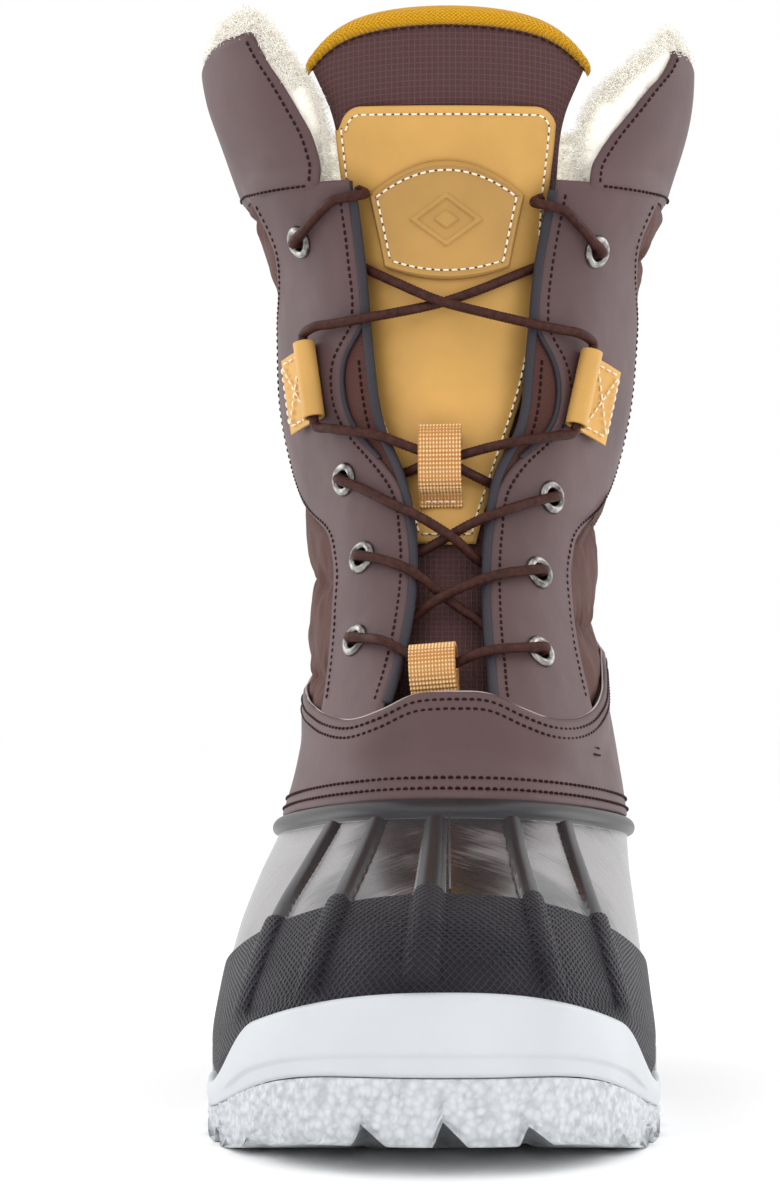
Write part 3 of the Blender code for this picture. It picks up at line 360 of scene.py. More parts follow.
RIGHT_STRAND = (
    (24.7, 127.5, 5.0), (24.7, 127.5, 1.0), (24.7, 127.5, -3.1), (23.4, 129.2, -4.5),
    (14.0, 136.0, -3.7), (9.5, 139.6, -3.4), (4.0, 142.6, -3.2), (-2.0, 145.8, -1.4), (-7.0, 148.6, 2.6),
    (-11.0, 150.8, 4.6), (-17.0, 153.4, 4.8), (-23.0, 155.0, 5.1), (-23.0, 155.0, 1.0), (-23.0, 155.0, -2.6),
    (-21.4, 155.8, -4.3), (-13.0, 157.4, -3.6), (-8.5, 158.8, -3.2), (-1.0, 161.8, -1.6), (7.0, 164.8, 2.4),
    (13.0, 167.0, 4.5), (21.0, 170.4, 4.8), (28.3, 173.0, 5.1), (28.3, 173.0, 1.0), (28.3, 173.0, -2.6),
    (26.6, 173.9, -4.3), (18.0, 176.4, -3.7), (12.5, 178.2, -2.8), (6.0, 180.6, -1.2), (-2.0, 184.2, 1.2),
    (-9.0, 186.8, 1.5), (-18.0, 190.4, 4.2), (-23.4, 191.8, 5.2), (-29.0, 193.2, 6.2), (-33.9, 194.8, LOOP_D),
    (-34.3, 197.3, LOOP_D), (-37.3, 218.6, LOOP_D), (-37.5, 221.2, LOOP_D), (-34.6, 223.4, 6.4),
    (-29.4, 224.2, 5.2), (-23.4, 225.2, 4.4), (-14.0, 227.2, 1.2), (-2.6, 230.0, -1.9), (8.0, 233.4, -2.6),
    (19.0, 237.6, -3.2), (27.0, 240.6, -3.6), (34.0, 243.0, -3.9), (40.2, 245.6, -4.3), (42.0, 246.5, -2.6),
    (42.0, 246.5, 1.0), (42.0, 246.5, 5.1), (38.9, 250.2, 5.0), (34.8, 254.9, 4.9), (31.6, 257.8, 5.0),
    (26.8, 259.0, 3.8), (25.8, 259.4, -1.6), (28.8, 260.4, -4.2),
)
BOTTOM_RUN = (
    (-20.0, 130.4, 5.0), (-15.4, 129.0, 5.7), (-11.2, 127.2, 2.6), (-7.0, 125.8, 0.0), (-4.0, 125.4, -1.0),
    (0.0, 125.4, -1.0), (4.5, 126.0, 1.2), (9.0, 126.6, 3.6), (14.0, 127.0, 4.7), (19.5, 127.3, 5.0),
)


def smooth_route(points, spacing):
    """Points about a spacing apart on a smooth curve through the given ones."""
    points = np.array(points, float)
    gaps = np.linalg.norm(np.diff(points, axis=0), axis=1) ** 0.5
    stations = np.concatenate(((0.0,), np.cumsum(gaps)))
    fine = np.linspace(0, stations[-1], 4000)
    curve = hermite(stations, points, slopes_of(stations, points), fine)
    length = np.concatenate(((0.0,), np.cumsum(np.linalg.norm(np.diff(curve, axis=0), axis=1))))
    wanted = np.linspace(0, length[-1], int(length[-1] / spacing) + 1)
    return np.stack([np.interp(wanted, length, curve[:, axis]) for axis in range(3)], axis=-1)


# Meshes. A part of a mesh is (points in millimetres, faces).


def make_object(name, points, faces, material, corner_uv=None):
    mesh = bpy.data.meshes.new(name)
    mesh.from_pydata((np.asarray(points) * MM).tolist(), [], faces)
    if corner_uv is not None:
        mesh.uv_layers.new(name="surface").data.foreach_set("uv", np.asarray(corner_uv, float).ravel())
    mesh.shade_smooth()
    made = bpy.data.objects.new(name, mesh)
    made.data.materials.append(material)
    bpy.context.scene.collection.objects.link(made)
    return made


def run_length(points, axis):
    """The length from the first point, along an axis of a grid of points."""
    steps = np.linalg.norm(np.diff(points, axis=axis), axis=-1)
    zero = np.zeros_like(np.take(steps, [0], axis=axis))
    return np.concatenate((zero, np.cumsum(steps, axis=axis)), axis=axis)


def surface(name, points, material, closed=False, flip=False):
    """A surface through a grid of points, with UVs in millimetres along its rows and columns."""
    rows, columns = points.shape[:2]
    index = np.arange(rows * columns).reshape(rows, columns)
    laid = points
    if closed:
        index = np.concatenate((index, index[:, :1]), axis=1)
        laid = np.concatenate((points, points[:, :1]), axis=1)
    across = run_length(laid, 1)
    uv = np.stack((across - across[:, -1:] / 2, run_length(laid, 0)), axis=-1)
    corners = (np.s_[:-1, :-1], np.s_[:-1, 1:], np.s_[1:, 1:], np.s_[1:, :-1])
    if flip:
        corners = corners[::-1]
    quads = np.stack([index[corner] for corner in corners], axis=-1).reshape(-1, 4)
    corner_uv = np.stack([uv[corner] for corner in corners], axis=2)
    return make_object(name, points.reshape(-1, 3), quads.tolist(), material, corner_uv)


def thicken(made, thickness):
    modifier = made.modifiers.new("thickness", "SOLIDIFY")
    modifier.thickness = thickness * MM
    modifier.offset = -1.0
    return made


def edge_distance(points):
    """How far each point of a grid is from the nearest of its four edges."""
    across = run_length(points, 1)
    up = run_length(points, 0)
    return np.minimum(np.minimum(across, across[:, -1:] - across), np.minimum(up, up[-1:] - up))


def bumps(points, size, seed=0):
    """Smooth noise from -1 to 1 over points, in lumps of about size mm."""
    shift = Vector((seed * 17.3, seed * 5.1, seed * 9.7))
    flat = (points.reshape(-1, 3) / size).tolist()
    return np.array([noise.noise(Vector(p) + shift) for p in flat]).reshape(points.shape[:-1])


def pebbles(points, size):
    """Rounded lumps from 0 to 1, about size mm apart."""
    flat = (points.reshape(-1, 3) / size).tolist()
    gaps = []
    for p in flat:
        near = noise.voronoi(Vector(p))[0]
        gaps.append(near[1] - near[0])
    return eased(np.array(gaps).reshape(points.shape[:-1]) / 0.6)


def settle(piece, body, slot, *nodes):
    """The piece rides on a body and stands for these CAD nodes; its slot is not used."""
    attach(piece, body)
    if nodes:
        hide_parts(*nodes)
    return piece


def join_parts(parts):
    points = []
    faces = []
    count = 0
    for some_points, some_faces in parts:
        points.append(some_points)
        faces.extend([corner + count for corner in face] for face in some_faces)
        count += len(some_points)
    return np.concatenate(points), faces


def unit(vectors):
    return vectors / np.linalg.norm(vectors, axis=-1, keepdims=True)


def tubes(centres, first, second, radii, sides):
    """Closed tubes: centres are (tube, ring, 3), first and second span each ring, radii are (tube, ring)."""
    count, rings = centres.shape[:2]
    angle = 2 * np.pi * np.arange(sides) / sides
    spread = (np.cos(angle)[:, None] * first[:, :, None] + np.sin(angle)[:, None] * second[:, :, None])
    points = centres[:, :, None] + spread * radii[:, :, None, None]
    index = np.arange(count * rings * sides).reshape(count, rings, sides)
    turned = np.roll(index, -1, axis=2)
    quads = np.stack((index[:, :-1], turned[:, :-1], turned[:, 1:], index[:, 1:]), axis=-1).reshape(-1, 4)
    caps = index[:, 0, ::-1].tolist() + index[:, -1].tolist()
    return points.reshape(-1, 3), quads.tolist() + caps


def transported(path):
    """Two directions across a path at each point, turning as little as they can."""
    along_path = unit(np.gradient(path, axis=0))
    first = np.zeros_like(path)
    start = np.cross(along_path[0], (0.3, 0.2, 0.9))
    first[0] = start / np.linalg.norm(start)
    for here in range(1, len(path)):
        turned = first[here - 1] - along_path[here] * np.dot(first[here - 1], along_path[here])
        first[here] = turned / np.linalg.norm(turned)
    return first, np.cross(along_path, first)


def cord_mesh(path, radius, sides, ribs=0, rib_height=0.0, turn=0.0):
    """A tube along a path. With ribs, they wind round it, turn radians a millimetre."""
    first, second = transported(path)
    angle = 2 * np.pi * np.arange(sides) / sides
    length = run_length(path, 0)
    swell = radius + rib_height * np.cos(ribs * (angle[None] - turn * length[:, None]))
    ring = np.cos(angle)[:, None] * first[:, None] + np.sin(angle)[:, None] * second[:, None]
    points = path[:, None] + ring * swell[..., None]
    index = np.arange(len(path) * sides).reshape(-1, sides)
    turned = np.roll(index, -1, axis=1)
    quads = np.stack((index[:-1], turned[:-1], turned[1:], index[1:]), axis=-1).reshape(-1, 4)
    return points.reshape(-1, 3), quads.tolist() + [index[0, ::-1].tolist(), index[-1].tolist()]


def spaced(path, pitch, margin=0.6):
    """Places a pitch apart along a path: (points, directions)."""
    length = run_length(path, 0)
    count = max(1, int((length[-1] - 2 * margin) / pitch))
    wanted = margin + (np.arange(count) + 0.5) * (length[-1] - 2 * margin) / count
    points = np.stack([np.interp(wanted, length, path[:, axis]) for axis in range(3)], axis=-1)
    ahead = np.stack([np.interp(wanted + 0.5, length, path[:, axis]) for axis in range(3)], axis=-1)
    behind = np.stack([np.interp(wanted - 0.5, length, path[:, axis]) for axis in range(3)], axis=-1)
    return points, unit(ahead - behind), wanted / length[-1]


def stitch_part(path, out, pitch, length, radius):
    """Raised stitches along a path; out is the outward direction at each of its points."""
    points, direction, share = spaced(path, pitch)
    given = run_length(path, 0) / run_length(path, 0)[-1]
    up = unit(np.stack([np.interp(share, given, out[:, axis]) for axis in range(3)], axis=-1))
    side = unit(np.cross(up, direction))
    up = np.cross(direction, side)
    where = np.array((-0.5, -0.44, -0.2, 0.2, 0.44, 0.5)) * length
    arch = np.array((-0.9, -0.35, 0.25, 0.25, -0.35, -0.9)) * radius
    centres = points[:, None] + direction[:, None] * where[:, None] + up[:, None] * arch[:, None]
    thick = np.broadcast_to(np.array((0.35, 0.85, 1.0, 1.0, 0.85, 0.35)) * radius, centres.shape[:2])
    rings = centres.shape[1]
    return tubes(centres, np.repeat(side[:, None], rings, 1), np.repeat(up[:, None], rings, 1), thick, 6)


def surface_line(u, v, d):
    """A path on the form with its outward directions."""
    return place(u, v, d), normal(u, v)


def thread(name, lines, material, body, slot, pitch=2.1, length=1.5, radius=0.40):
    """Rows of stitches as one piece."""
    parts = [stitch_part(path, out, pitch, length, radius) for path, out in lines]
    return settle(make_object(name, *join_parts(parts), material), body, slot)


def pile_part(roots, outs, length, curl, radius, seed, lean=0.55, rings=6):
    """Curled fibres that stand on the roots."""
    rng = np.random.default_rng(seed)
    count = len(roots)
    grow = unit(outs + lean * rng.normal(size=(count, 3)))
    side = unit(np.cross(grow, rng.normal(size=(count, 3))))
    other = np.cross(grow, side)
    t = np.linspace(0, 1, rings)
    phase = rng.uniform(0, 2 * np.pi, (count, 1))
    angle = phase + 2 * np.pi * rng.uniform(0.5, 1.3, (count, 1)) * t
    reach = length * rng.uniform(0.55, 1.15, (count, 1)) * t
    sway = curl * rng.uniform(0.5, 1.3, (count, 1)) * np.sqrt(t)
    centres = roots[:, None] + grow[:, None] * reach[..., None]
    centres = centres + side[:, None] * (sway * (np.cos(angle) - np.cos(phase)))[..., None]
    centres = centres + other[:, None] * (sway * (np.sin(angle) - np.sin(phase)))[..., None]
    radii = np.broadcast_to(radius * (1 - 0.55 * t), (count, rings))
    return tubes(centres, np.repeat(side[:, None], rings, 1), np.repeat(other[:, None], rings, 1), radii, 3)


def scatter(points, count, seed):
    """Random places on a grid of points: (places, outward directions)."""
    rng = np.random.default_rng(seed)
    rows, columns = points.shape[:2]
    row = rng.uniform(0, rows - 1.001, count)
    column = rng.uniform(0, columns - 1.001, count)
    r, c = row.astype(int), column.astype(int)
    fr, fc = (row - r)[:, None], (column - c)[:, None]
    near = points[r, c] * (1 - fc) + points[r, c + 1] * fc
    far = points[r + 1, c] * (1 - fc) + points[r + 1, c + 1] * fc
    across = points[r, c + 1] - points[r, c]
    up = points[r + 1, c] - points[r, c]
    return near * (1 - fr) + far * fr, unit(np.cross(across, up))


# Materials. Object coordinates are metres and the UVs are millimetres.


def node(material, kind, **values):
    made = material.node_tree.nodes.new(kind)
    for key, value in values.items():
        if key in made.inputs:
            made.inputs[key].default_value = value
        else:
            setattr(made, key, value)
    return made


def link(material, source, target):
    material.node_tree.links.new(source, target)


def shader_of(material):
    return material.node_tree.nodes["Principled BSDF"]


def plain(name, colour, roughness, **sockets):
    material = bpy.data.materials.new(name)
    material.use_nodes = True
    shader = shader_of(material)
    shader.inputs["Base Color"].default_value = (*colour, 1.0)
    shader.inputs["Roughness"].default_value = roughness
    for key, value in sockets.items():
        shader.inputs[key.replace("_", " ")].default_value = value
    material.diffuse_color = (*colour, 1.0)
    return material


def cloud(material, size, detail=3.0):
    """A noise texture's height, in patches of about size mm."""
    place_on = node(material, "ShaderNodeTexCoord")
    texture = node(material, "ShaderNodeTexNoise", Scale=1000 / size, Detail=detail)
    link(material, place_on.outputs["Object"], texture.inputs["Vector"])
    return texture.outputs["Fac"]


def cells(material, size):
    """A cell texture's distance, in cells of about size mm."""
    place_on = node(material, "ShaderNodeTexCoord")
    texture = node(material, "ShaderNodeTexVoronoi", Scale=1000 / size)
    link(material, place_on.outputs["Object"], texture.inputs["Vector"])
    return texture.outputs["Distance"]


def wave_of(material, source, pitch):
    turn = node(material, "ShaderNodeMath", operation="MULTIPLY")
    turn.inputs[1].default_value = 2 * math.pi / pitch
    sine = node(material, "ShaderNodeMath", operation="SINE")
    link(material, source, turn.inputs[0])
    link(material, turn.outputs[0], sine.inputs[0])
    return sine.outputs[0]


def combine(material, operation, first, second=0.0):
    made = node(material, "ShaderNodeMath", operation=operation)
    link(material, first, made.inputs[0])
    if isinstance(second, float):
        made.inputs[1].default_value = second
    else:
        link(material, second, made.inputs[1])
    return made.outputs[0]


def threads(material, across, up):
    """The UVs' two wave heights, with pitches across and up in mm."""
    place_on = node(material, "ShaderNodeUVMap", uv_map="surface")
    split = node(material, "ShaderNodeSeparateXYZ")
    link(material, place_on.outputs["UV"], split.inputs[0])
    return wave_of(material, split.outputs["X"], across), wave_of(material, split.outputs["Y"], up)


def relief(material, height, depth, strength=1.0):
    """Adds depth mm of bump from a height on top of the bumps there are."""
    shader = shader_of(material)
    bump = node(material, "ShaderNodeBump", Distance=depth * MM, Strength=strength)
    link(material, height, bump.inputs["Height"])
    for before in shader.inputs["Normal"].links:
        link(material, before.from_socket, bump.inputs["Normal"])
    link(material, bump.outputs["Normal"], shader.inputs["Normal"])


def tint(material, height, low, high, dark, light):
    """Base colour from dark at low height to light at high height."""
    ramp = node(material, "ShaderNodeValToRGB")
    ramp.color_ramp.elements[0].position = low
    ramp.color_ramp.elements[1].position = high
    ramp.color_ramp.elements[0].color = (*dark, 1.0)
    ramp.color_ramp.elements[1].color = (*light, 1.0)
    link(material, height, ramp.inputs["Fac"])
    link(material, ramp.outputs["Color"], shader_of(material).inputs["Base Color"])


def rough(material, height, low, high):
    """Roughness from low to high, by a height."""
    spread = node(material, "ShaderNodeMapRange")
    spread.inputs["To Min"].default_value = low
    spread.inputs["To Max"].default_value = high
    link(material, height, spread.inputs["Value"])
    link(material, spread.outputs["Result"], shader_of(material).inputs["Roughness"])


def shades(colour, dark, light):
    return tuple(c * dark for c in colour), tuple(min(1.0, c * light) for c in colour)


LEATHER = (0.104, 0.061, 0.063)
TAN = (0.64, 0.36, 0.10)
# The label's tan is the facing's tan darkened by about a quarter: partly its own darker tone, partly painted
# shade against the light it catches as it faces up.
LABEL_TAN = (0.48, 0.27, 0.080)
RIPSTOP = (0.098, 0.048, 0.048)
QUILTED = (0.088, 0.034, 0.027)
FLEECE = (1.0, 0.945, 0.85)
BINDING = (0.74, 0.36, 0.004)
WEBBING = (0.70, 0.36, 0.11)
FOAM = (0.040, 0.036, 0.045)
LACE = (0.044, 0.014, 0.010)
RUBBER = (0.022, 0.019, 0.025)
SOLE = (0.60, 0.62, 0.645)


def leather_look(name, colour, roughness, grain):
    material = plain(name, colour, roughness, Specular_IOR_Level=0.22)
    tint(material, cloud(material, 26.0, 5.0), 0.32, 0.68, *shades(colour, 0.90, 1.10))
    rough(material, cloud(material, 9.0), roughness - 0.06, roughness + 0.08)
    relief(material, cells(material, 0.9), 0.05, grain)
    relief(material, cloud(material, 3.5, 4.0), 0.12, 0.35)
    return material


def woven_look(name, colour, across, up, depth, roughness, contrast, sheen):
    """Cloth whose threads cross at right angles."""
    material = plain(name, colour, roughness, Specular_IOR_Level=0.2, Sheen_Weight=sheen)
    warp, weft = threads(material, across, up)
    crossing = combine(material, "MULTIPLY", warp, weft)
    lifted = combine(material, "MULTIPLY_ADD", crossing, 0.5)
    lifted.node.inputs[2].default_value = 0.5
    tint(material, lifted, 0.0, 1.0, *shades(colour, contrast, 2 - contrast))
    relief(material, crossing, depth)
    relief(material, cloud(material, 6.0), 0.2, 0.3)
    return material


def ripstop_look():
    """Fine plain weave with a raised grid of thicker threads."""
    material = plain("ripstop_cloth", RIPSTOP, 0.68, Specular_IOR_Level=0.15)
    warp, weft = threads(material, 1.7, 1.7)
    bars = combine(material, "MAXIMUM", warp, weft)
    sharp = combine(material, "POWER", combine(material, "MAXIMUM", bars), 4.0)
    tint(material, sharp, 0.0, 1.0, *shades(RIPSTOP, 0.85, 1.45))
    relief(material, sharp, 0.16)
    fine, finer = threads(material, 0.42, 0.42)
    relief(material, combine(material, "MULTIPLY", fine, finer), 0.03)
    relief(material, cloud(material, 12.0), 0.5, 0.4)
    return material


def fleece_look():
    # Painted glow: the fleece emits a little light in its own colour, which makes it look brighter than its
    # lighting alone would.
    material = plain("fleece_pile", FLEECE, 0.95, Sheen_Weight=0.8, Emission_Strength=0.12)
    shader_of(material).inputs["Emission Color"].default_value = (*FLEECE, 1.0)
    tint(material, cloud(material, 5.0, 4.0), 0.3, 0.7, *shades(FLEECE, 0.93, 1.04))
    relief(material, cloud(material, 1.1, 4.0), 0.5, 0.6)
    return material


def shell_look():
    """Glossy black rubber with fine brushed scuffs that run down it and a painted reflection that lightens it
    towards both sides, neither on the ribs.
    """
    material = plain("black_rubber", RUBBER, 0.34, IOR=1.65, Coat_Weight=0.4, Coat_Roughness=0.22)
    place_on = node(material, "ShaderNodeUVMap", uv_map="surface")
    stretched = node(material, "ShaderNodeMapping", Scale=(0.75, 0.06, 1.0))
    streaks = node(material, "ShaderNodeTexNoise", Scale=1.0, Detail=6.0)
    link(material, place_on.outputs["UV"], stretched.inputs["Vector"])
    link(material, stretched.outputs["Vector"], streaks.inputs["Vector"])
    scuffs = streaks.outputs["Fac"]
    across = node(material, "ShaderNodeTexCoord")
    split = node(material, "ShaderNodeSeparateXYZ")
    link(material, across.outputs["Object"], split.inputs[0])
    # Painted reflection: the rubber lightens with distance from the middle towards both sides; a broad cloud
    # adds random tone to it.
    side_reflection = combine(material, "MULTIPLY", combine(material, "ABSOLUTE", split.outputs["X"]), 8.0)
    reflection_and_tone = combine(material, "ADD", side_reflection, cloud(material, 30.0, 3.0))
    scuffs_and_reflection = combine(material, "ADD", combine(material, "MULTIPLY", scuffs, 0.45), reflection_and_tone)
    between_ribs = node(material, "ShaderNodeAttribute", attribute_name="between_ribs").outputs["Fac"]
    scuffs_and_reflection = combine(material, "MULTIPLY", scuffs_and_reflection, between_ribs)
    # Painted reflection with the scuffs: the tint goes from near black to grey where the side lightening and
    # the streaks are strongest.
    tint(material, scuffs_and_reflection, 0.80, 1.0, (0.006, 0.005, 0.007), (0.175, 0.162, 0.166))
    rough(material, scuffs, 0.16, 0.42)
    relief(material, scuffs, 0.06, 0.6)
    return material


def rim_look():
    """The smooth dark rubber of the rim."""
    material = plain("rim_rubber", (0.014, 0.012, 0.015), 0.36, Specular_IOR_Level=0.4)
    relief(material, cloud(material, 3.0, 4.0), 0.08, 0.4)
    return material


def bumper_look():
    material = plain("bumper_rubber", (0.020, 0.018, 0.026), 0.42, Specular_IOR_Level=0.25)
    tint(material, cloud(material, 14.0), 0.3, 0.7, (0.012, 0.010, 0.016), (0.030, 0.026, 0.036))
    place_on = node(material, "ShaderNodeUVMap", uv_map="surface")
    split = node(material, "ShaderNodeSeparateXYZ")
    link(material, place_on.outputs["UV"], split.inputs[0])
    leaning = [wave_of(material, combine(material, way, split.outputs["X"], split.outputs["Y"]), 2.1)
               for way in ("ADD", "SUBTRACT")]
    hatch = combine(material, "MAXIMUM", *leaning)
    relief(material, hatch, 0.6)
    rough(material, hatch, 0.62, 0.36)
    return material


def sole_look(name, grain):
    material = plain(name, SOLE, 0.52, Specular_IOR_Level=0.4)
    tint(material, cloud(material, 34.0), 0.3, 0.7, *shades(SOLE, 0.96, 1.04))
    relief(material, cloud(material, 0.9), 0.05, grain)
    return material


def webbing_look():
    """Bright warp grains in rows, with dark gaps between them."""
    material = plain("webbing", WEBBING, 0.7, Specular_IOR_Level=0.3)
    warp, weft = threads(material, 0.95, 1.45)
    tint(material, combine(material, "ADD", warp, weft), 0.0, 1.0, (0.56, 0.25, 0.07), (0.95, 0.68, 0.36))
    relief(material, warp, 0.12)
    return material


def metal_look():
    material = plain("antique_silver", (0.12, 0.115, 0.11), 0.26, Metallic=1.0)
    tint(material, cloud(material, 2.5), 0.35, 0.65, (0.10, 0.095, 0.09), (0.36, 0.345, 0.33))
    rough(material, cloud(material, 1.2), 0.18, 0.42)
    return material


def make_looks():
    looks = {
        "leather": leather_look("brown_leather", LEATHER, 0.47, 0.25),
        "tan": leather_look("tan_leather", TAN, 0.42, 0.18),
        "label": leather_look("label_leather", LABEL_TAN, 0.42, 0.18),
        "ripstop": ripstop_look(),
        "quilted": woven_look("quilted_nylon", QUILTED, 0.9, 0.9, 0.05, 0.62, 0.80, 0.0),
        "fleece": fleece_look(),
        "binding": woven_look("knit_binding", BINDING, 1.5, 1.1, 0.25, 0.85, 0.6, 0.1),
        "webbing": webbing_look(),
        "foam": leather_look("foam_edge", FOAM, 0.6, 0.4),
        "lace": plain("lace_cord", LACE, 0.5, Specular_IOR_Level=0.18),
        "metal": metal_look(),
        "shell": shell_look(),
        "bumper": bumper_look(),
        "sole": sole_look("sole_rubber", 0.15),
        "tread": sole_look("tread_rubber", 0.6),
        "rim": rim_look(),
        "felt": plain("felt", (0.42, 0.41, 0.39), 0.95, Sheen_Weight=0.3),
        "dark_thread": plain("dark_thread", (0.026, 0.007, 0.007), 0.6, Specular_IOR_Level=0.12),
        "cream_thread": plain("cream_thread", (0.92, 0.84, 0.66), 0.6),
        "ear": plain("grey_rubber", (0.40, 0.38, 0.39), 0.6),
        "cut_edge": plain("cut_edge", (0.42, 0.36, 0.35), 0.7),
        "board": plain("fibre_board", (0.5, 0.36, 0.2), 0.85),
        "batting": plain("white_batting", (0.85, 0.85, 0.82), 0.95),
        "steel": plain("spring_steel", (0.55, 0.55, 0.56), 0.3, Metallic=1.0),
    }
    tint(looks["lace"], cloud(looks["lace"], 1.6), 0.3, 0.7, *shades(LACE, 0.7, 1.6))
    relief(looks["lace"], cloud(looks["lace"], 0.5), 0.08, 0.6)
    # Painted shade on the tread: each cell of the texture is lighter in its middle and darker towards its
    # edges, as shade between pebbles.
    tint(looks["tread"], cells(looks["tread"], 2.2), 0.25, 0.8, *shades(SOLE, 1.10, 0.84))
    for key, size in (("felt", 2.0), ("board", 1.5), ("batting", 2.5), ("steel", 6.0)):
        relief(looks[key], cloud(looks[key], size), 0.3, 0.5)
    return looks


# Sole and shell. Notches in the toe: x, depth. Lug grooves: y, depth. Ribs: u at the rim, u at the foot.

NOTCHES = ((-52.0, 5.0), (-22.0, 5.5), (-1.5, 6.5), (20.0, 5.0), (45.0, 5.0))
LUG_GROOVES = ((-98, 4.5), (-78, 4.0), (-58, 4.0), (-38, 4.0), (78, 4.5), (98, 4.5), (118, 4.5))
RIBS = ((-0.094, -0.135), (-0.053, -0.075), (-0.008, -0.01), (0.045, 0.06), (0.091, 0.125))


def wall_dip(u):
    """How far the wall's top edge dips below the foot line beside the ball and the arch."""
    from_toe = np.minimum(u % 1.0, -u % 1.0)
    dip = eased((from_toe - 0.120) / 0.065) * (1 - eased((from_toe - 0.225) / 0.12))
    return dip * (form(u, 0.0)[..., 2] - 15.0)


def foot_place(u, v, d):
    """As place, but below the foot line it goes straight down to the wall's top edge."""
    u, v = np.broadcast_arrays(u, v)
    points = place(u, np.maximum(v, 0.0), d)
    points[..., 2] -= np.maximum(-v, 0.0) / 0.06 * (wall_dip(u) + 2.5)
    return points


def build_midsole(looks):
    """The smooth cupped wall, with a shallow recessed panel round the toe."""
    u = np.arange(420) / 420
    line = sole_outline(u, SOLE_PROUD)
    line[..., 2] -= wall_dip(u)
    low = parting_height(line) + 0.15
    toe = eased((0.155 - np.minimum(u, 1 - u)) / 0.015)
    rows = [at_height(sole_outline(u, -5.0), low + 0.5), at_height(sole_outline(u, 1.4), low)]
    for share in np.linspace(0, 1, 34):
        recess = 0.9 * toe * eased((0.29 - share) / 0.05)
        rounding = 1.1 * eased((share - 0.93) / 0.07) ** 2 + 0.5 * eased((0.04 - share) / 0.04)
        swell = 0.5 * np.sin(np.pi * share)
        ring = sole_outline(u, SOLE_PROUD - 0.2)
        out = unit(ring - sole_outline(u, 0.0))
        ring = ring + out * (swell - recess - rounding)[..., None]
        rows.append(at_height(ring, low + (line[..., 2] - low) * share))
    rows.append(at_height(sole_outline(u, -1.0), line[..., 2] - 0.4))
    rows.append(at_height(sole_outline(u, -4.5), line[..., 2] - 6.0))
    settle(surface("sole_wall", np.array(rows), looks["sole"], closed=True), "boot", "sole", "midsole")


def tread_lift(x, y):
    """How far the underside is raised at a place by grooves, toe notches and the arch."""
    lift = 3.4 * eased((31.5 - np.abs(y - 32.7)) / 2.0)
    for groove_y, depth in LUG_GROOVES:
        along_y = np.abs(y - groove_y - np.abs(x) * 0.25 + 9.0)
        lift = np.maximum(lift, depth * eased((3.6 - along_y) / 1.2) * eased((np.abs(x) - 9.0) / 2.0))
    for notch_x, depth in NOTCHES:
        slant = np.where(x > notch_x, 6.4, 2.2)
        bite = depth * np.clip(1 - np.abs(x - notch_x) / slant, 0, 1)
        lift = np.maximum(lift, bite * eased((-112 - y) / 14.0))
    return lift


def build_outsole(looks):
    """The pebbled tread band and the lugs under it."""
    u = np.arange(900) / 900
    outer = sole_outline(u, SOLE_PROUD)
    high = parting_height(outer) - 0.15
    rise = tread_height(outer)
    lift = np.minimum(tread_lift(outer[..., 0], outer[..., 1]), high - rise - 1.5)
    rows = []
    for share in 1 - np.linspace(0, 1, 14) ** 1.3:
        ring = outer.copy()
        ring[..., :2] *= share
        ground = tread_height(ring)
        under = np.minimum(tread_lift(ring[..., 0], ring[..., 1]), 7.0)
        ring[..., 2] = ground + (under if share < 1 else lift)
        rows.append(ring)
    rows.reverse()
    for share in np.linspace(0.04, 1, 20):
        ring = sole_outline(u, SOLE_PROUD - 1.5 * (1 - share) ** 4 - 0.5)
        rows.append(at_height(ring, rise + lift + (high - rise - lift) * share))
    rows.append(at_height(sole_outline(u, -5.0), high))
    points = np.array(rows)
    out = unit(sole_outline(u, 1.0) - sole_outline(u, 0.0))
    band = points[14:34]
    points[14:34] = band + out * (0.95 * pebbles(band, 2.4) + 0.2 * bumps(band, 7.0, 3) - 0.3)[..., None]
    piece = surface("pebbled_outsole", points, looks["tread"], closed=True)
    settle(piece, "boot", "sole", "outsole")


def rib_height(u, v):
    """The height of the shell's five raised ribs."""
    share = np.clip(v, 0, 1)
    height = np.zeros(np.broadcast(u, v).shape)
    for rim, foot in RIBS:
        middle = foot + (rim - foot) * share
        half = 0.0085 - 0.0015 * share
        height = np.maximum(height, np.sqrt(np.clip(1 - ((u - middle) / half) ** 2, 0, 1)))
    return 2.2 * height * eased((0.935 - v) / 0.018) * eased((v - 0.01) / 0.07)


def build_shell(looks):
    """The rubber shell with its ribs and its rim bead."""
    columns = 900
    u = (np.arange(columns) / columns + 0.5) % 1.0 - 0.5
    v = np.concatenate((np.linspace(-0.06, 0.90, 84), np.linspace(0.906, 1.004, 26)))[:, None]
    bead = 2.5 * np.sqrt(np.clip(1 - ((v - 0.972) / 0.034) ** 2, 0, 1))
    flat = place(u[None], v, 0.0)
    ribs = rib_height(u[None], v)
    d = ribs + bead + 0.12 * bumps(flat, 22.0, 1)
    outside = foot_place(u[None], np.minimum(v, 1.0), d)
    piece = thicken(surface("glossy_shell", outside, looks["shell"], closed=True), 2.6)
    # Where the painted reflection and the scuffs may lighten the shell: everywhere but on the ribs.
    between = 1 - np.clip(ribs / 0.5, 0, 1)
    piece.data.attributes.new("between_ribs", "FLOAT", "POINT").data.foreach_set("value", between.ravel())
    dark = (v[:-1] > 0.936) | (ribs[:-1] > 0.5)
    piece.data.materials.append(looks["rim"])
    piece.data.polygons.foreach_set("material_index", dark.astype(np.int32).ravel())
    settle(piece, "boot", "shell", "rubber_shell")
    path, _ = surface_line(np.full(90, 0.0007), np.linspace(0.50, 0.93, 90), 2.05)
    settle(make_object("mould_seam", *cord_mesh(path, 0.28, 8), looks["shell"]), "boot", "shell")


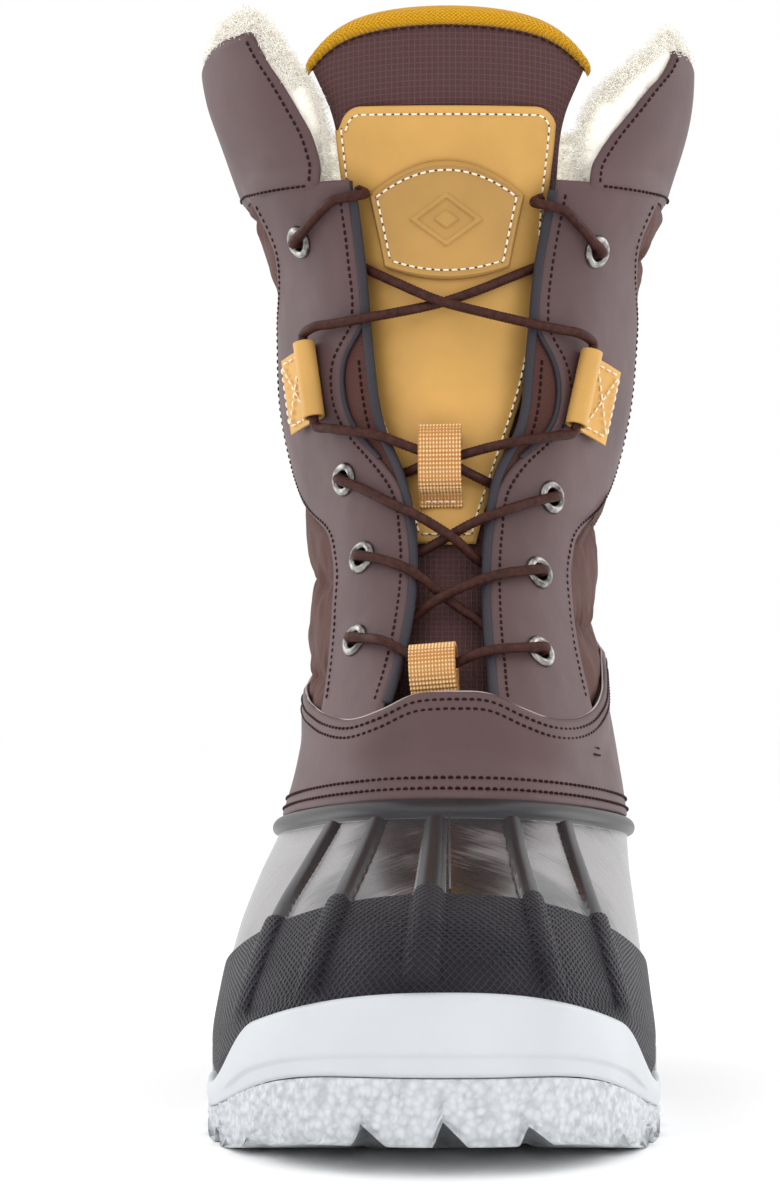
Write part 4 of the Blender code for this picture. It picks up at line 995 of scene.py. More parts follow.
def build_bumper(looks):
    """The cross-hatched toe guard, which keeps the ribs under it, and the pale tab at each of its ends."""
    reach = 0.226
    s = np.linspace(-1, 1, 520)[None]
    t = np.linspace(0, 1, 70)[:, None]
    u = s * reach
    top = 0.505 - 0.20 * np.abs(s) ** 1.7 + 0.008 * rib_height(u, np.full(u.shape, 0.45))
    v = (top + 0.05) * t - 0.05
    flat = place(u, v, 0.0)
    fall = eased(edge_distance(flat) / 1.1)
    d = -0.3 + 1.5 * fall + rib_height(u, v) * 0.9
    settle(surface("toe_bumper", foot_place(u, v, d), looks["bumper"]), "boot", "shell")
    for side in (-1, 1):
        u = side * np.linspace(0.207, 0.220, 12)[None]
        v = np.linspace(-0.05, 0.004, 12)[:, None]
        tab = foot_place(u, v, 2.6 - np.linspace(-1, 1, 12)[None] ** 2)
        piece = surface("bumper_tab_" + side_name(side), tab, looks["ear"], flip=side < 0)
        settle(thicken(piece, 2.0), "boot", "shell")


# Leather and cloth panels of the upper. A grid is (u, v) with u growing from the front.


def panel(name, grid, d, thickness, look, body, slot, nodes=(), side=1, soften=0.7, waves=0.18, seed=1):
    """A panel with softened edges and faint waves."""
    u, v = grid
    flat = place(side * u, v, d)
    edge = eased(edge_distance(flat) / 1.6)
    wavy = waves * bumps(flat, 15.0, seed) + 0.5 * waves * bumps(flat, 5.0, seed + 3)
    height = d - soften * (1 - edge) + wavy
    piece = thicken(surface(name, place(side * u, v, height), look, flip=side < 0), thickness)
    settle(piece, body, slot, *nodes)
    return piece


def apply_modifiers(piece):
    depsgraph = bpy.context.evaluated_depsgraph_get()
    mesh = bpy.data.meshes.new_from_object(piece.evaluated_get(depsgraph))
    piece.modifiers.clear()
    piece.data = mesh


def side_name(side):
    return "left" if side < 0 else "right"


def build_saddle(looks):
    """The leather over the instep, thicker along its top edge, with its seams and bar tack."""
    columns = 260
    t = np.linspace(0, 1, 44)[:, None]
    reach = along(BACKSTAY_U, UPPER_FOOT_V + 0.48 * t) + 0.006
    u = reach * np.linspace(-1, 1, columns)[None]
    top = np.where(u < 0, saddle_top(-1)(u), saddle_top(1)(u)) + 0.02
    v = UPPER_FOOT_V + (top - UPPER_FOOT_V) * t
    rise = eased((v - top + 0.17) / 0.13)
    d = 0.9 + 2.5 * rise * (1 - 0.35 * eased((np.abs(u) - 0.15) / 0.06))
    flat = place(u, v, d)
    edge = eased(edge_distance(flat) / 1.6)
    points = place(u, v, d - 0.7 * (1 - edge) + 0.3 * bumps(flat, 17.0, 4))
    piece = thicken(surface("leather_saddle", points, looks["leather"]), 1.9)
    settle(piece, "boot", "leather", "vamp_saddle")
    lines = []
    line_u = np.linspace(-0.33, 0.33, 500)
    line_top = np.where(line_u < 0, saddle_top(-1)(line_u), saddle_top(1)(line_u)) + 0.02
    line_d = 3.35 * (1 - 0.27 * eased((np.abs(line_u) - 0.15) / 0.06))
    for drop in (0.030, 0.056):
        lines.append(surface_line(line_u, line_top - drop, line_d - 0.15 * (drop > 0.05)))
    path, _ = surface_line(line_u, line_top - 0.002, line_d - 0.9)
    settle(make_object("saddle_cut_edge", *cord_mesh(path, 0.35, 6), looks["cut_edge"]), "boot", "leather")
    for lift in (0.03, 0.065):
        lines.append(surface_line(line_u, np.full(500, UPPER_FOOT_V + lift), 1.05))
    thread("saddle_stitching", lines, looks["dark_thread"], "boot", "leather")
    u, v = front_spot(40.5, 100.5)
    tack_u = float(u) + np.array((-0.006, 0.006))
    lines = [surface_line(tack_u, np.full(2, float(v) + lift), 2.1) for lift in (-0.02, 0.0, 0.02)]
    thread("saddle_bartack", lines, looks["dark_thread"], "boot", "leather", 1.1, 1.0, 0.3)


def build_backstay(looks):
    v = np.linspace(UPPER_FOOT_V, 2.735, 130)[:, None]
    edge = along(BACKSTAY_U, v)
    u = edge + (1 - 2 * edge) * np.linspace(0, 1, 60)[None]
    panel("leather_backstay", (u, v), 1.6, 1.9, looks["leather"], "boot", "leather", ["heel_backstay"])
    lines = []
    v = np.linspace(1.04, 2.72, 400)
    for side in (-1, 1):
        for inset in (0.006, 0.013):
            lines.append(surface_line(side * (along(BACKSTAY_U, v) + inset), v, 1.7))
    thread("backstay_stitching", lines, looks["dark_thread"], "boot", "leather")


def build_quarter(side, looks):
    """Quilted nylon: soft channels between sewn lines, with puckers at the seams."""
    back = lambda v: along(BACKSTAY_U, v) + 0.004
    front = u_edge(EYESTAY_OUTER_U, -0.014)
    u, v = patch(front, back, saddle_top(side, -0.04), fixed(2.74), 110, 150)
    flat = place(side * u, v, 0.0)
    height = flat[..., 2] + 3.0 * np.sin(flat[..., 1] / 26.0)
    phase = ((height - (151.0 if side < 0 else 139.0)) / 27.0) % 1.0
    gap = np.minimum(phase, 1 - phase) * 27.0
    puff = 1 - np.exp(-gap / 4.2)
    pucker = bumps(flat * np.array((1.0, 1.0, 0.45)), 3.4, 5) * np.exp(-gap / 5.0)
    soft = eased(edge_distance(flat) / 6.0)
    d = -1.3 + 2.7 * puff * soft + 1.7 * pucker + 1.0 * bumps(flat, 10.0, 6)
    name = side_name(side)
    piece = surface(name + "_puffed_quarter", place(side * u, v, d), looks["quilted"], flip=side < 0)
    settle(thicken(piece, 1.2), "boot", "quilted", name + "_quilted_quarter")


def eyestay_edge(side, inset):
    """Paths along the eyestay's inner and outer edges, inset mm from them."""
    v = np.linspace(float(saddle_top(side)(0.07)) + 0.05, SEAM_TOP_V, 500)
    inner = u_at(v, along(LEATHER_INNER[side], height_at(v)) + inset)
    v_out = np.linspace(float(saddle_top(side)(0.14)) + 0.05, SEAM_TOP_V, 500)
    outer = along(EYESTAY_OUTER_U, height_at(v_out)) - inset / 330.0
    return (side * inner, v), (side * outer, v_out)


def build_eyestay(side, looks, cutter):
    """The leather facing with its foam lining, its eyelet holes, and the cloth window at its inner edge."""
    name = side_name(side)
    outer = u_edge(EYESTAY_OUTER_U)
    grid = patch(x_edge(LEATHER_INNER[side]), outer, saddle_top(side, -0.03), fixed(UPPER_TOP_V), 70, 230)
    top = panel(name + "_leather_eyestay", grid, EYESTAY[0] + 0.2, EYESTAY[1], looks["leather"],
                "boot", "leather", [name + "_eyestay"], side, seed=7)
    lining_outer = lambda v: np.minimum(along(EYESTAY_OUTER_U, height_at(v)), 0.152) - 0.02
    grid = patch(x_edge(EYESTAY_INNER[side], 0.4), lining_outer, saddle_top(side, 0.0), fixed(2.74), 30, 120)
    under = panel(name + "_foam_lining", grid, EYESTAY_LINING[0] + 0.5, 1.9, looks["foam"], "boot", "foam",
                  [name + "_eyestay_lining"], side, 0.3)
    for piece in (top, under):
        modifier = piece.modifiers.new("eyelet_holes", "BOOLEAN")
        modifier.object = cutter
        apply_modifiers(piece)
    v = np.linspace(float(saddle_top(side)(0.07)) + 0.05, SEAM_TOP_V, 300)
    path = place(side * u_at(v, along(EYESTAY_INNER[side], height_at(v)) - 0.2), v, 1.3)
    settle(make_object(name + "_foam_edge", *cord_mesh(path, 1.45, 10), looks["foam"]), "boot", "foam")
    (edge_u, edge_v), _ = eyestay_edge(side, 0.0)
    height = height_at(edge_v)
    window = (height > 184) & (height < 224)
    path = place(edge_u, edge_v, 1.9)[window]
    settle(make_object(name + "_window_piping", *cord_mesh(path, 0.75, 8), looks["foam"]), "boot", "foam")
    inner = x_edge(EYESTAY_INNER[side], 0.9)
    u, v = patch(inner, x_edge(LEATHER_INNER[side], 1.5), fixed(1.98), fixed(2.42), 24, 80)
    cloth = surface(name + "_window_cloth", place(side * u, v, 1.15), looks["quilted"], flip=side < 0)
    settle(cloth, "boot", "quilted")
    seam_v = np.linspace(2.10, 2.30, 120)
    seam_u = side * u_at(seam_v, along(EYESTAY_INNER[side], height_at(seam_v)) + 3.4)
    inner_line, outer_line = eyestay_edge(side, 3.0)
    lines = [surface_line(*inner_line, EYESTAY[0] + 0.2), surface_line(*outer_line, EYESTAY[0] + 0.1)]
    lines.append(surface_line(seam_u, seam_v, 1.3))
    thread(name + "_eyestay_stitching", lines, looks["dark_thread"], "boot", "leather")


def build_gusset(side, looks):
    """Folded cloth that joins the tongue's side to the eyestay."""
    name = side_name(side)
    u, v = patch(x_edge(TONGUE_HALF, -2.0), x_edge(TONGUE_HALF, 9.4), fixed(1.34), fixed(2.45), 40, 160)
    flat = place(side * u, v, -4.0)
    across = np.linspace(0, 1, 40)[None]
    folds = 1.1 * np.sin(across * 7.0 + 1.6 * bumps(flat, 20.0, 9)) + 0.6 * bumps(flat, 7.0, 8)
    folded = place(side * u, v, -3.9 + folds)
    piece = surface(name + "_folded_gusset", folded, looks["quilted"], flip=side < 0)
    settle(thicken(piece, 0.7), "boot", "quilted", name + "_tongue_gusset")


# Collar and fleece.


def fleece_part(u, v, d, thickness, seed):
    """A padded fleece form over a grid, as a front and a back grid with soft clumps."""
    flat = place(u, v, d)
    edge = eased(edge_distance(flat) / (thickness * 0.9))
    front = place(u, v, d - thickness * 0.5 * (1 - np.sqrt(edge)))
    back = place(u, v, d - thickness * (0.5 + 0.5 * np.sqrt(edge)))
    front = front + normal(u, v) * (0.7 * bumps(front, 4.0, seed))[..., None]
    back = back - normal(u, v) * (0.7 * bumps(back, 4.0, seed + 1))[..., None]
    return front, back


def weld_faces(front, back):
    """One closed mesh from a front and a back grid that meet at their edges."""
    rows, columns = front.shape[:2]
    index = np.arange(rows * columns).reshape(rows, columns)
    other = index + rows * columns
    quads = np.stack((index[:-1, :-1], index[:-1, 1:], index[1:, 1:], index[1:, :-1]), axis=-1).reshape(-1, 4)
    backs = np.stack((other[:-1, :-1], other[1:, :-1], other[1:, 1:], other[:-1, 1:]), axis=-1).reshape(-1, 4)
    rim = np.concatenate((index[0], index[1:, -1], index[-1, -2::-1], index[-2:0:-1, 0]))
    after = np.roll(rim, -1)
    sides = np.stack((after, rim, rim + rows * columns, after + rows * columns), axis=-1)
    points = np.concatenate((front.reshape(-1, 3), back.reshape(-1, 3)))
    return points, quads.tolist() + backs.tolist() + sides.tolist()


def fleece_piece(name, front, back, mirror, counts, looks, seed):
    """The closed skin with curled fibres on it, as one piece.

    The counts are fibres on the front's two bands, the back, the top rim and the inner rim.
    """
    points, faces = weld_faces(front, back)
    if mirror:
        faces = [face[::-1] for face in faces]
    sign = -1.0 if mirror else 1.0
    parts = []
    half = counts[0] // 2
    top_band = front[-8:]
    side_band = front[34:, :4]
    for grid, count, turn in ((top_band, half, sign), (side_band, half, sign), (back, counts[1], -sign)):
        roots, outs = scatter(grid, count, seed + int(turn))
        parts.append(pile_part(roots, outs * turn, 3.0, 0.8, 0.20, seed))
    rng = np.random.default_rng(seed + 5)
    top = 0.5 * (front[-1] + back[-1])
    below = 0.5 * (front[-4] + back[-4])
    inner = 0.5 * (front[:, 0] + back[:, 0])
    inside = 0.5 * (front[:, 3] + back[:, 3])
    for edge, near, count in ((top, below, counts[2]), (inner, inside, counts[3])):
        pick = rng.uniform(0, len(edge) - 1.001, count)
        low = pick.astype(int)
        part = (pick - low)[:, None]
        roots = edge[low] * (1 - part) + edge[low + 1] * part
        outs = unit(edge[low] - near[low])
        parts.append(pile_part(roots, outs, 3.4, 0.9, 0.20, seed + 7, 0.8))
    return make_object(name, *join_parts([(points, faces)] + parts), looks["fleece"])


def bend_flap(piece):
    """Bakes the piece's placement into its mesh."""
    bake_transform(piece)


def flap_lift(u, v):
    """The flap's lower edge lies over the eyestay's top."""
    return 2.2 * eased((2.80 - v) / 0.06) * (1 - eased((u - 0.16) / 0.05))


def build_flap(side, looks):
    """A collar flap, its seams and its fleece cuff."""
    name = side_name(side)
    top = flap_top(side)
    u, v = patch(x_edge(FLAP_INNER[side]), fixed(FLAP_REAR_U), fixed(2.718), top, 70, 80)
    d = 0.9 + flap_lift(u, v)
    flat = place(side * u, v, d)
    edge = eased(edge_distance(flat) / 2.0)
    points = place(side * u, v, d - 0.9 * (1 - edge) + 0.35 * bumps(flat, 16.0, 11))
    piece = thicken(surface(name + "_leather_flap", points, looks["leather"], flip=side < 0), 1.9)
    apply_modifiers(piece)
    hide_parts(name + "_collar_flap")
    bend_flap(piece)
    lines = []
    line_u = side * np.linspace(float(u[4, 4]), FLAP_REAR_U - 0.004, 200)
    line_v = np.full(200, 2.738)
    lines.append(surface_line(line_u, line_v, 1.05 + flap_lift(np.abs(line_u), line_v)))
    lines.append(surface_line(side * u[4:-3, 3], v[4:-3, 3], 1.0 + flap_lift(u[4:-3, 3], v[4:-3, 3])))
    parts = [stitch_part(path, out, 2.1, 1.5, 0.40) for path, out in lines]
    stitches = make_object(name + "_flap_stitching", *join_parts(parts), looks["dark_thread"])
    bend_flap(stitches)
    high = lambda other: top(other) + 0.055
    u, v = patch(x_edge(CUFF_INNER[side]), fixed(FLAP_REAR_U), fixed(2.70), high, 60, 60)
    front, back = fleece_part(side * u, v, -1.4, 7.2, 12)
    cuff = fleece_piece(name + "_shearling_cuff", front, back, side < 0, (1500, 2600, 900, 900), looks, 20)
    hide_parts(name + "_fleece_cuff")
    bend_flap(cuff)


def build_back_collar(looks):
    """The leather band round the back of the collar, with its fleece cuff."""
    u = np.linspace(COLLAR_U, 1 - COLLAR_U, 150)[None]
    top = 3.02 - 0.10 * eased((0.5 - np.abs(u - 0.5)) * 4 - 1)
    t = np.linspace(0, 1, 40)[:, None]
    v = 2.722 + (top - 2.722) * t
    panel("leather_back_collar", (u, v), 1.7, 1.9, looks["leather"], "boot", "leather", ["back_collar"])
    line_u = np.linspace(COLLAR_U + 0.004, 1 - COLLAR_U - 0.004, 400)
    lines = [surface_line(line_u, np.full(400, UPPER_TOP_V), 1.9)]
    line_top = 3.02 - 0.10 * eased((0.5 - np.abs(line_u - 0.5)) * 4 - 1)
    lines.append(surface_line(line_u, line_top - 0.03, 1.8))
    thread("back_collar_stitching", lines, looks["dark_thread"], "boot", "leather")
    v = 2.71 + (top + 0.05 - 2.71) * t
    front, back = fleece_part(u, v, -1.0, 7.0, 31)
    cuff = fleece_piece("back_shearling_cuff", front, back, False, (1800, 4200, 2200, 300), looks, 33)
    settle(cuff, "boot", "fleece", "back_fleece_cuff")


def build_linings(looks):
    """The fleece inside the shaft and the foot. Only the shaft's upper part has fibres."""
    rows = []
    for v in np.linspace(1.23, 2.735, 90):
        half = float(along(TONGUE_HALF, height_at(v))) + 2.5
        u = np.linspace(float(u_at(v, half)), 1 + float(u_at(v, -half)), 150)
        rows.append(np.stack((u, np.full(150, v)), axis=-1))
    grid = np.array(rows)
    u, v = grid[..., 0], grid[..., 1]
    front, back = fleece_part(u, v, -5.6, 4.6, 41)
    roots, outs = scatter(back[55:], 5200, 43)
    points, faces = weld_faces(front, back)
    pile = pile_part(roots, -outs, 2.8, 0.8, 0.2, 44)
    settle(make_object("shaft_shearling", *join_parts([(points, faces), pile]), looks["fleece"]),
           "boot", "fleece", "fleece_shaft_lining")
    u = np.arange(160) / 160
    floor = place(u, LOWEST_V, -5.6)
    floor[..., 2] = form(u, LOWEST_V)[..., 2] + 9.2
    rows = [floor * np.array((share, share, 1.0)) for share in (0.02, 0.3, 0.6, 0.85)] + [floor]
    for v in np.linspace(0.22, 1.19, 40):
        rows.append(place(u, v, -5.0))
    points = np.array(rows)
    out = points - np.array((0.0, 10.0, 80.0))
    points = points - unit(out) * (0.6 * bumps(points, 4.5, 51) + 0.3)[..., None]
    piece = thicken(surface("foot_shearling", points, looks["fleece"], closed=True), 3.6)
    settle(piece, "boot", "fleece", "fleece_foot_lining")


def build_footbed(looks):
    """A cut felt insole with rounded edges and a soft heel cup."""
    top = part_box("footbed")[1][2] / MM
    u = np.arange(200) / 200
    ring = place(u, LOWEST_V, -11.0)
    ground = form(u, LOWEST_V)[..., 2]
    rows = []
    for share, lift in ((0.02, 13.5), (0.5, 13.5), (0.95, 13.5), (0.985, 14.1), (0.985, 16.6), (0.96, 17.4)):
        rows.append(np.concatenate((ring[:, :2] * share, (ground + lift)[:, None]), axis=-1))
    for share in (0.85, 0.7, 0.5, 0.3, 0.15, 0.02):
        rows.append(np.concatenate((ring[:, :2] * share, (ground + 16.2 + 1.2 * share)[:, None]), axis=-1))
    points = np.array(rows)
    points[..., 2] = np.minimum(points[..., 2], top + 0.5)
    settle(surface("felt_footbed", points, looks["felt"], closed=True), "insole", "footbed", "footbed")


# The tongue.


def build_tongue(looks):
    """The padded tongue and its knit binding."""
    top = lambda x: tongue_arch(x) - 3.0
    u, v = front_patch(tongue_edge(-1), tongue_edge(1), fixed(109.5), top, 90, 200)
    flat = place(u, v, TONGUE[0])
    edge = np.sqrt(eased(edge_distance(flat) / 7.0))
    swell = 0.35 * bumps(flat, 14.0, 61) + 0.8 * eased((flat[..., 2] - 286) / 8.0)
    front = place(u, v, TONGUE[0] - 1.8 * (1 - edge) + swell)
    back = place(u, v, TONGUE[0] - TONGUE[1] + 1.8 * (1 - edge) - 0.3 * swell)
    piece = surface("padded_tongue", front, looks["ripstop"])
    rear = surface("padded_tongue_back", back, looks["ripstop"], flip=True)
    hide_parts("tongue", "tongue_top")
    x = np.linspace(-48.5, 48.5, 280)
    rows = []
    ribs = 0.22 * np.cos(2 * np.pi * x / 1.7)
    for angle in np.linspace(-0.30, 1.30, 26) * math.pi:
        z = tongue_arch(x) - 2.6 + 2.9 * math.sin(angle)
        u, v = front_spot(x, z)
        rows.append(place(u, v, -10.6 + (4.5 + ribs) * math.cos(angle)))
    points = np.array(rows)
    inside = np.abs(x) < along(TONGUE_HALF, tongue_arch(x)) + 0.3
    band = surface("knit_binding", points[:, inside], looks["binding"])
    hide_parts("tongue_binding")
    x = np.linspace(-44, 44, 300)
    line = surface_line(*front_spot(x, tongue_arch(x) - 5.4), TONGUE[0] + 0.6)
    stitches = make_object("binding_stitching", *stitch_part(*line, 2.6, 1.9, 0.25), looks["dark_thread"])
    for made in (piece, rear, band, stitches):
        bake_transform(made)


def facing_grid(inset, columns, rows):
    """The tan facing's grid, inset mm from its edge, with its two upper corners rounded."""
    round_off = 7.0 - inset
    reach = lambda x: np.clip((np.abs(x) - 27.2) / round_off, 0, 0.999)
    corner = lambda x: TONGUE_FOLD_Z - 0.4 - inset - round_off * (1 - np.sqrt(1 - reach(x) ** 2))
    left = lambda z: inset - 1.0 - along(FACING_HALF, z)
    right = lambda z: along(FACING_HALF, z) - 1.0 - inset
    return front_patch(left, right, fixed(162.0 + inset), corner, columns, rows)


def label_grid(inset, columns, rows):
    """The patch's grid, inset mm from its edge."""
    half = lambda z: np.interp(z, (237, 263), (19.1, 24.6))
    low = lambda x: 237.0 + inset + 3.2 * (np.abs(x + 0.5) / 18.5) ** 2
    high = lambda x: 271.0 - inset - 8.0 * (np.abs(x + 0.5) / 22.0) ** 2
    left = lambda z: inset - 0.5 - half(z)
    right = lambda z: -0.5 - inset + half(z)
    return front_patch(left, right, low, high, columns, rows)


def rim_line(grid, d):
    """The path round the edge of a grid."""
    u, v = grid
    around = []
    for table in (u, v):
        around.append(np.concatenate((table[0], table[1:, -1], table[-1, -2::-1], table[-2::-1, 0])))
    return surface_line(around[0], around[1], d)


def build_facing(looks):
    """The tan facing and the patch on it, which carries a plain raised diamond."""
    panel("tan_facing", facing_grid(0.0, 70, 170), FACING[0] + 0.3, 1.3, looks["tan"], "boot", "tan",
          ["tongue_facing"], soften=0.5, waves=0.3, seed=63)
    path = rim_line(facing_grid(2.4, 50, 120), FACING[0] + 0.5)
    thread("facing_stitching", [path], looks["cream_thread"], "boot", "tan", 2.5, 2.0, 0.33)
    thread("facing_needle_holes", [path], looks["dark_thread"], "boot", "tan", 2.5, 2.5, 0.22)
    u, v = label_grid(0.0, 120, 100)
    flat = place(u, v, LABEL[0])
    away = edge_distance(flat)
    border = eased((1.7 - away) / 0.4) * eased((away - 0.6) / 0.4)
    spot = np.stack((flat[..., 0] + 0.6, flat[..., 2] - 254.5), axis=-1)
    ring = np.abs(spot[..., 0]) / 9.5 + np.abs(spot[..., 1]) / 7.0
    emblem = eased((0.16 - np.abs(ring - 1.0)) / 0.06) + eased((0.42 - ring) / 0.06)
    d = LABEL[0] + 0.1 - 0.6 * (1 - eased(away / 0.6)) + 0.5 * border + 0.8 * emblem
    piece = thicken(surface("blank_label", place(u, v, d), looks["label"]), 1.5)
    settle(piece, "boot", "tan", "tongue_label")
    path = rim_line(label_grid(2.7, 50, 40), LABEL[0] + 0.3)
    thread("label_stitching", [path], looks["cream_thread"], "boot", "tan", 2.5, 2.0, 0.33)
    thread("label_needle_holes", [path], looks["dark_thread"], "boot", "tan", 2.5, 2.5, 0.22)


# Keepers, loops, eyelets and lace.


# Keepers: name, x, z, d, width, side view. Loops: side, the lower and the upper end as (x, z).
LACE_KEEPERS = (
    ("upper_lace_keeper", -2.3, 173.3, -4.8, 12.4,
     ((-1.7, 0.6), (0.3, 0.8), (1.9, 2.4), (2.3, 5.2), (4.6, 7.9), (12.0, 8.7), (18.4, 8.4), (21.4, 6.6),
      (21.9, 3.4), (20.0, 1.0), (13.0, 0.6), (6.0, 0.7))),
    ("lower_lace_keeper", -4.1, 117.0, -6.7, 13.2,
     ((-0.5, 1.0), (2.0, 4.6), (4.8, 9.2), (9.0, 11.0), (14.2, 10.8), (16.8, 8.6), (17.0, 4.6), (15.6, 1.4),
      (11.0, 0.8), (4.0, 0.8))),
)
LACE_LOOPS = (
    (-1, (-34.3, 197.3), (-37.3, 218.6)),
    (1, (33.0, 194.7), (37.6, 215.8)),
)


def strap(name, profile, half_width, thickness, origin, run, out, look, woven=False):
    """A strap bent along a profile of (along run, along out) points, given its width across."""
    path = smooth_route([(a, b, 0.0) for a, b in profile], 0.2)
    across = np.cross(run, out)
    columns = np.linspace(-half_width, half_width, 60)
    points = (origin + path[:, :1] * run + path[:, 1:2] * out)[:, None] + columns[None, :, None] * across
    direction = unit(np.gradient(path[:, :2], axis=0))
    up = direction[:, :1] * out - direction[:, 1:] * run
    if woven:
        weave = 0.2 * np.sin(2 * np.pi * run_length(path, 0) / 1.45)
        points = points + (up * weave[:, None])[:, None]
    return thicken(surface(name, points, look), thickness)


def build_keepers(looks):
    for name, x, z, d, width, profile in LACE_KEEPERS:
        origin = front_place(x, z, d)
        run = unit(front_place(x, z + 12.0, d) - origin)
        out = normal(*front_spot(x, z + 8.0))
        out = unit(out - run * np.dot(out, run))
        piece = strap(name + "_strap", profile, width / 2, 1.1, origin, run, out, looks["webbing"], True)
        settle(piece, "boot", "webbing", name)
    u, v = front_spot(np.linspace(-7.8, 3.2, 40), np.full(40, 172.7))
    stitched = [surface_line(u, v, -2.6)]
    thread("keeper_stitching", stitched, looks["cream_thread"], "boot", "webbing", 1.6, 1.4, 0.3)


def build_loop(side, low, high, looks):
    """A leather strap folded round the lace, its tail sewn down with a crossed box of stitches."""
    name = side_name(side)
    bottom = front_place(*low, EYESTAY[0] + 0.4)
    top = front_place(*high, EYESTAY[0] + 0.4)
    u, v = front_spot((low[0] + high[0]) / 2, (low[1] + high[1]) / 2)
    run = unit(top - bottom)
    out = normal(u, v)
    out = unit(out - run * np.dot(out, run))
    inward = np.cross(run, out) if side < 0 else np.cross(out, run)
    middle = (bottom + top) / 2
    half = np.linalg.norm(top - bottom) / 2
    angles = np.radians(np.linspace(195, -75, 22))
    fold = 3.25
    profile = [(-16.5, 0.6), (-11.0, 1.2), (-5.6, 1.6)]
    profile += [(fold * math.cos(a), 3.6 + fold * math.sin(a)) for a in angles]
    profile += [(-3.0, 0.15), (-6.0, 0.1)]
    piece = strap(name + "_leather_loop", profile, half + 0.4, 0.9, middle, inward, out, looks["tan"])
    settle(piece, "boot", "tan", name + "_lace_loop")
    side_way = np.cross(inward, out)
    corners = ((-15.2, -1.0), (-15.2, 1.0), (-5.4, 1.0), (-5.4, -1.0))
    span = half - 1.5
    spots = [middle + inward * a + side_way * b * span + out * 1.65 for a, b in corners]
    lines = []
    for first, last in ((0, 1), (1, 2), (2, 3), (3, 0), (0, 2), (1, 3)):
        path = spots[first] + (spots[last] - spots[first]) * np.linspace(0, 1, 40)[:, None]
        lines.append((path, np.repeat(out[None], 40, 0)))
    thread(name + "_loop_stitching", lines, looks["cream_thread"], "boot", "tan", 2.4, 1.8, 0.30)


def spot_frame(x, z):
    """A place on the eyestay's face with its directions across, up and out."""
    u, v = front_spot(x, z)
    centre = place(u, v, EYESTAY[0] + 0.3)
    out = normal(u, v)
    across = unit(np.array((1.0, 0, 0)) - out * out[0])
    return centre, across, np.cross(out, across), out


def build_eyelets(looks):
    """Each eyelet is one turned rim and barrel; the profile is (radius, height)."""
    profile = ((2.5, 0.2), (2.62, 0.75), (3.0, 1.15), (3.7, 1.3), (4.4, 1.05), (4.85, 0.55), (5.0, 0.0),
               (4.8, -0.3), (3.0, -0.3), (3.0, -4.2), (2.5, -4.2))
    angle = 2 * np.pi * np.arange(48) / 48
    for name, x, z in EYELETS:
        centre, across, up, out = spot_frame(x, z)
        rows = []
        for radius, height in profile + profile[:1]:
            ring = np.cos(angle)[:, None] * across + np.sin(angle)[:, None] * up
            rows.append(centre + ring * radius + out * height)
        piece = surface(name + "_rim", np.array(rows), looks["metal"], closed=True, flip=True)
        settle(piece, "boot", "eyelet", name)


def eyelet_cutter(looks):
    """Eight short rods that cut the eyelets' holes."""
    sides = 32
    angle = 2 * np.pi * np.arange(sides) / sides
    parts = []
    for _, x, z in EYELETS:
        centre, across, up, out = spot_frame(x, z)
        ring = (np.cos(angle)[:, None] * across + np.sin(angle)[:, None] * up) * 3.4
        points = np.concatenate((centre + ring - out * 7, centre + ring + out * 5))
        faces = [[k, (k + 1) % sides, (k + 1) % sides + sides, k + sides] for k in range(sides)]
        parts.append((points, faces))
    points, faces = join_parts(parts)
    for k in range(len(EYELETS)):
        start = 2 * sides * k
        faces.append([start + i for i in reversed(range(sides))])
        faces.append([start + sides + i for i in range(sides)])
    cutter = make_object("eyelet_cutter", points, faces, looks["metal"])
    bpy.context.view_layer.update()
    return cutter


def build_lace(looks):
    route = np.array(LEFT_STRAND[::-1] + BOTTOM_RUN + RIGHT_STRAND)
    path = smooth_route(front_place(route[:, 0], route[:, 1], route[:, 2]), 0.4)
    print("lace length, mm:", round(float(run_length(path, 0)[-1])))
    mesh = cord_mesh(path, LACE_DIAMETER / 2 + 0.12, sides=15, ribs=5, rib_height=0.11, turn=1.1)
    settle(make_object("round_lace", *mesh, looks["lace"]), "boot", "lace", "lace")


# What stays of the CAD, the setting and the camera.


def dress_cad(looks):
    """Sealed inner pieces keep their CAD shape and get their material."""
    for name, key in (("steel_shank", "steel"), ("insole_board", "board"), ("heel_counter", "board"),
                      ("left_quarter_batting", "batting"), ("right_quarter_batting", "batting")):
        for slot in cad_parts[name].material_slots:
            slot.material = looks[key]


def area_light(name, place_at, target, size, energy):
    data = bpy.data.lights.new(name, "AREA")
    data.shape = "RECTANGLE"
    data.size, data.size_y = size
    data.energy = energy
    lamp = bpy.data.objects.new(name, data)
    bpy.context.scene.collection.objects.link(lamp)
    aim = Vector(target) - Vector(place_at)
    lamp.matrix_world = Matrix.Translation(place_at) @ aim.to_track_quat("-Z", "Y").to_matrix().to_4x4()


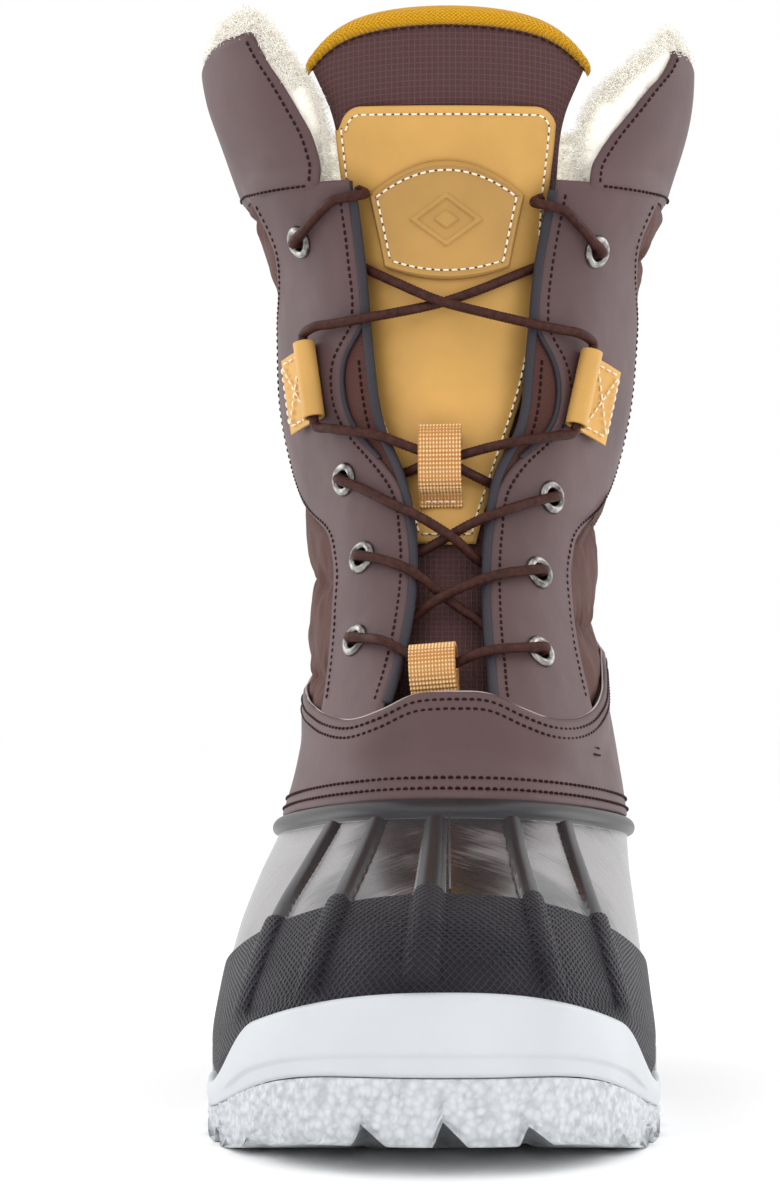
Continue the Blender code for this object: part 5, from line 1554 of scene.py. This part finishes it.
def build_setting():
    """A white floor and world, five soft lights and the camera."""
    floor = make_object("floor", [(-3000, -3000, 0), (3000, -3000, 0), (3000, 3000, 0), (-3000, 3000, 0)],
                        [[0, 1, 2, 3]], plain("pale_floor", (0.99, 0.99, 0.99), 0.9))
    world = bpy.data.worlds.new("studio")
    world.use_nodes = True
    background = world.node_tree.nodes["Background"]
    background.inputs["Color"].default_value = (1, 1, 1, 1)
    background.inputs["Strength"].default_value = 1.0
    scene = bpy.context.scene
    scene.world = world
    scene.view_settings.view_transform = "Standard"
    area_light("key", (-0.75, -1.1, 1.0), (0, 0, 0.16), (0.7, 1.0), 2.6)
    area_light("fill", (0.95, -0.8, 0.55), (0, 0, 0.14), (0.5, 1.1), 1.6)
    area_light("left_strip", (-0.8, 0.35, 0.25), (0, 0, 0.08), (0.5, 1.0), 3.0)
    area_light("right_strip", (0.8, 0.35, 0.25), (0, 0, 0.08), (0.5, 1.0), 3.0)
    area_light("top", (0, 0.1, 1.3), (0, 0, 0.1), (1.0, 1.0), 1.8)
    data = bpy.data.cameras.new("camera")
    data.lens = 124.2
    data.sensor_width = 36
    data.shift_x = -0.0485
    camera = bpy.data.objects.new("camera", data)
    camera.location = (-0.0001, -1.180, 0.144)
    camera.rotation_euler = (math.radians(90), 0, 0)
    scene.collection.objects.link(camera)
    scene.camera = camera


def main():
    build_setting()
    looks = make_looks()
    build_lace(looks)
    build_midsole(looks)
    build_outsole(looks)
    build_shell(looks)
    build_bumper(looks)
    build_saddle(looks)
    build_backstay(looks)
    cutter = eyelet_cutter(looks)
    for side in (-1, 1):
        build_quarter(side, looks)
        build_eyestay(side, looks, cutter)
        build_gusset(side, looks)
        build_flap(side, looks)
    bpy.data.objects.remove(cutter)
    build_back_collar(looks)
    build_linings(looks)
    build_footbed(looks)
    build_tongue(looks)
    build_facing(looks)
    build_keepers(looks)
    for side, low, high in LACE_LOOPS:
        build_loop(side, low, high, looks)
    build_eyelets(looks)
    dress_cad(looks)


main()
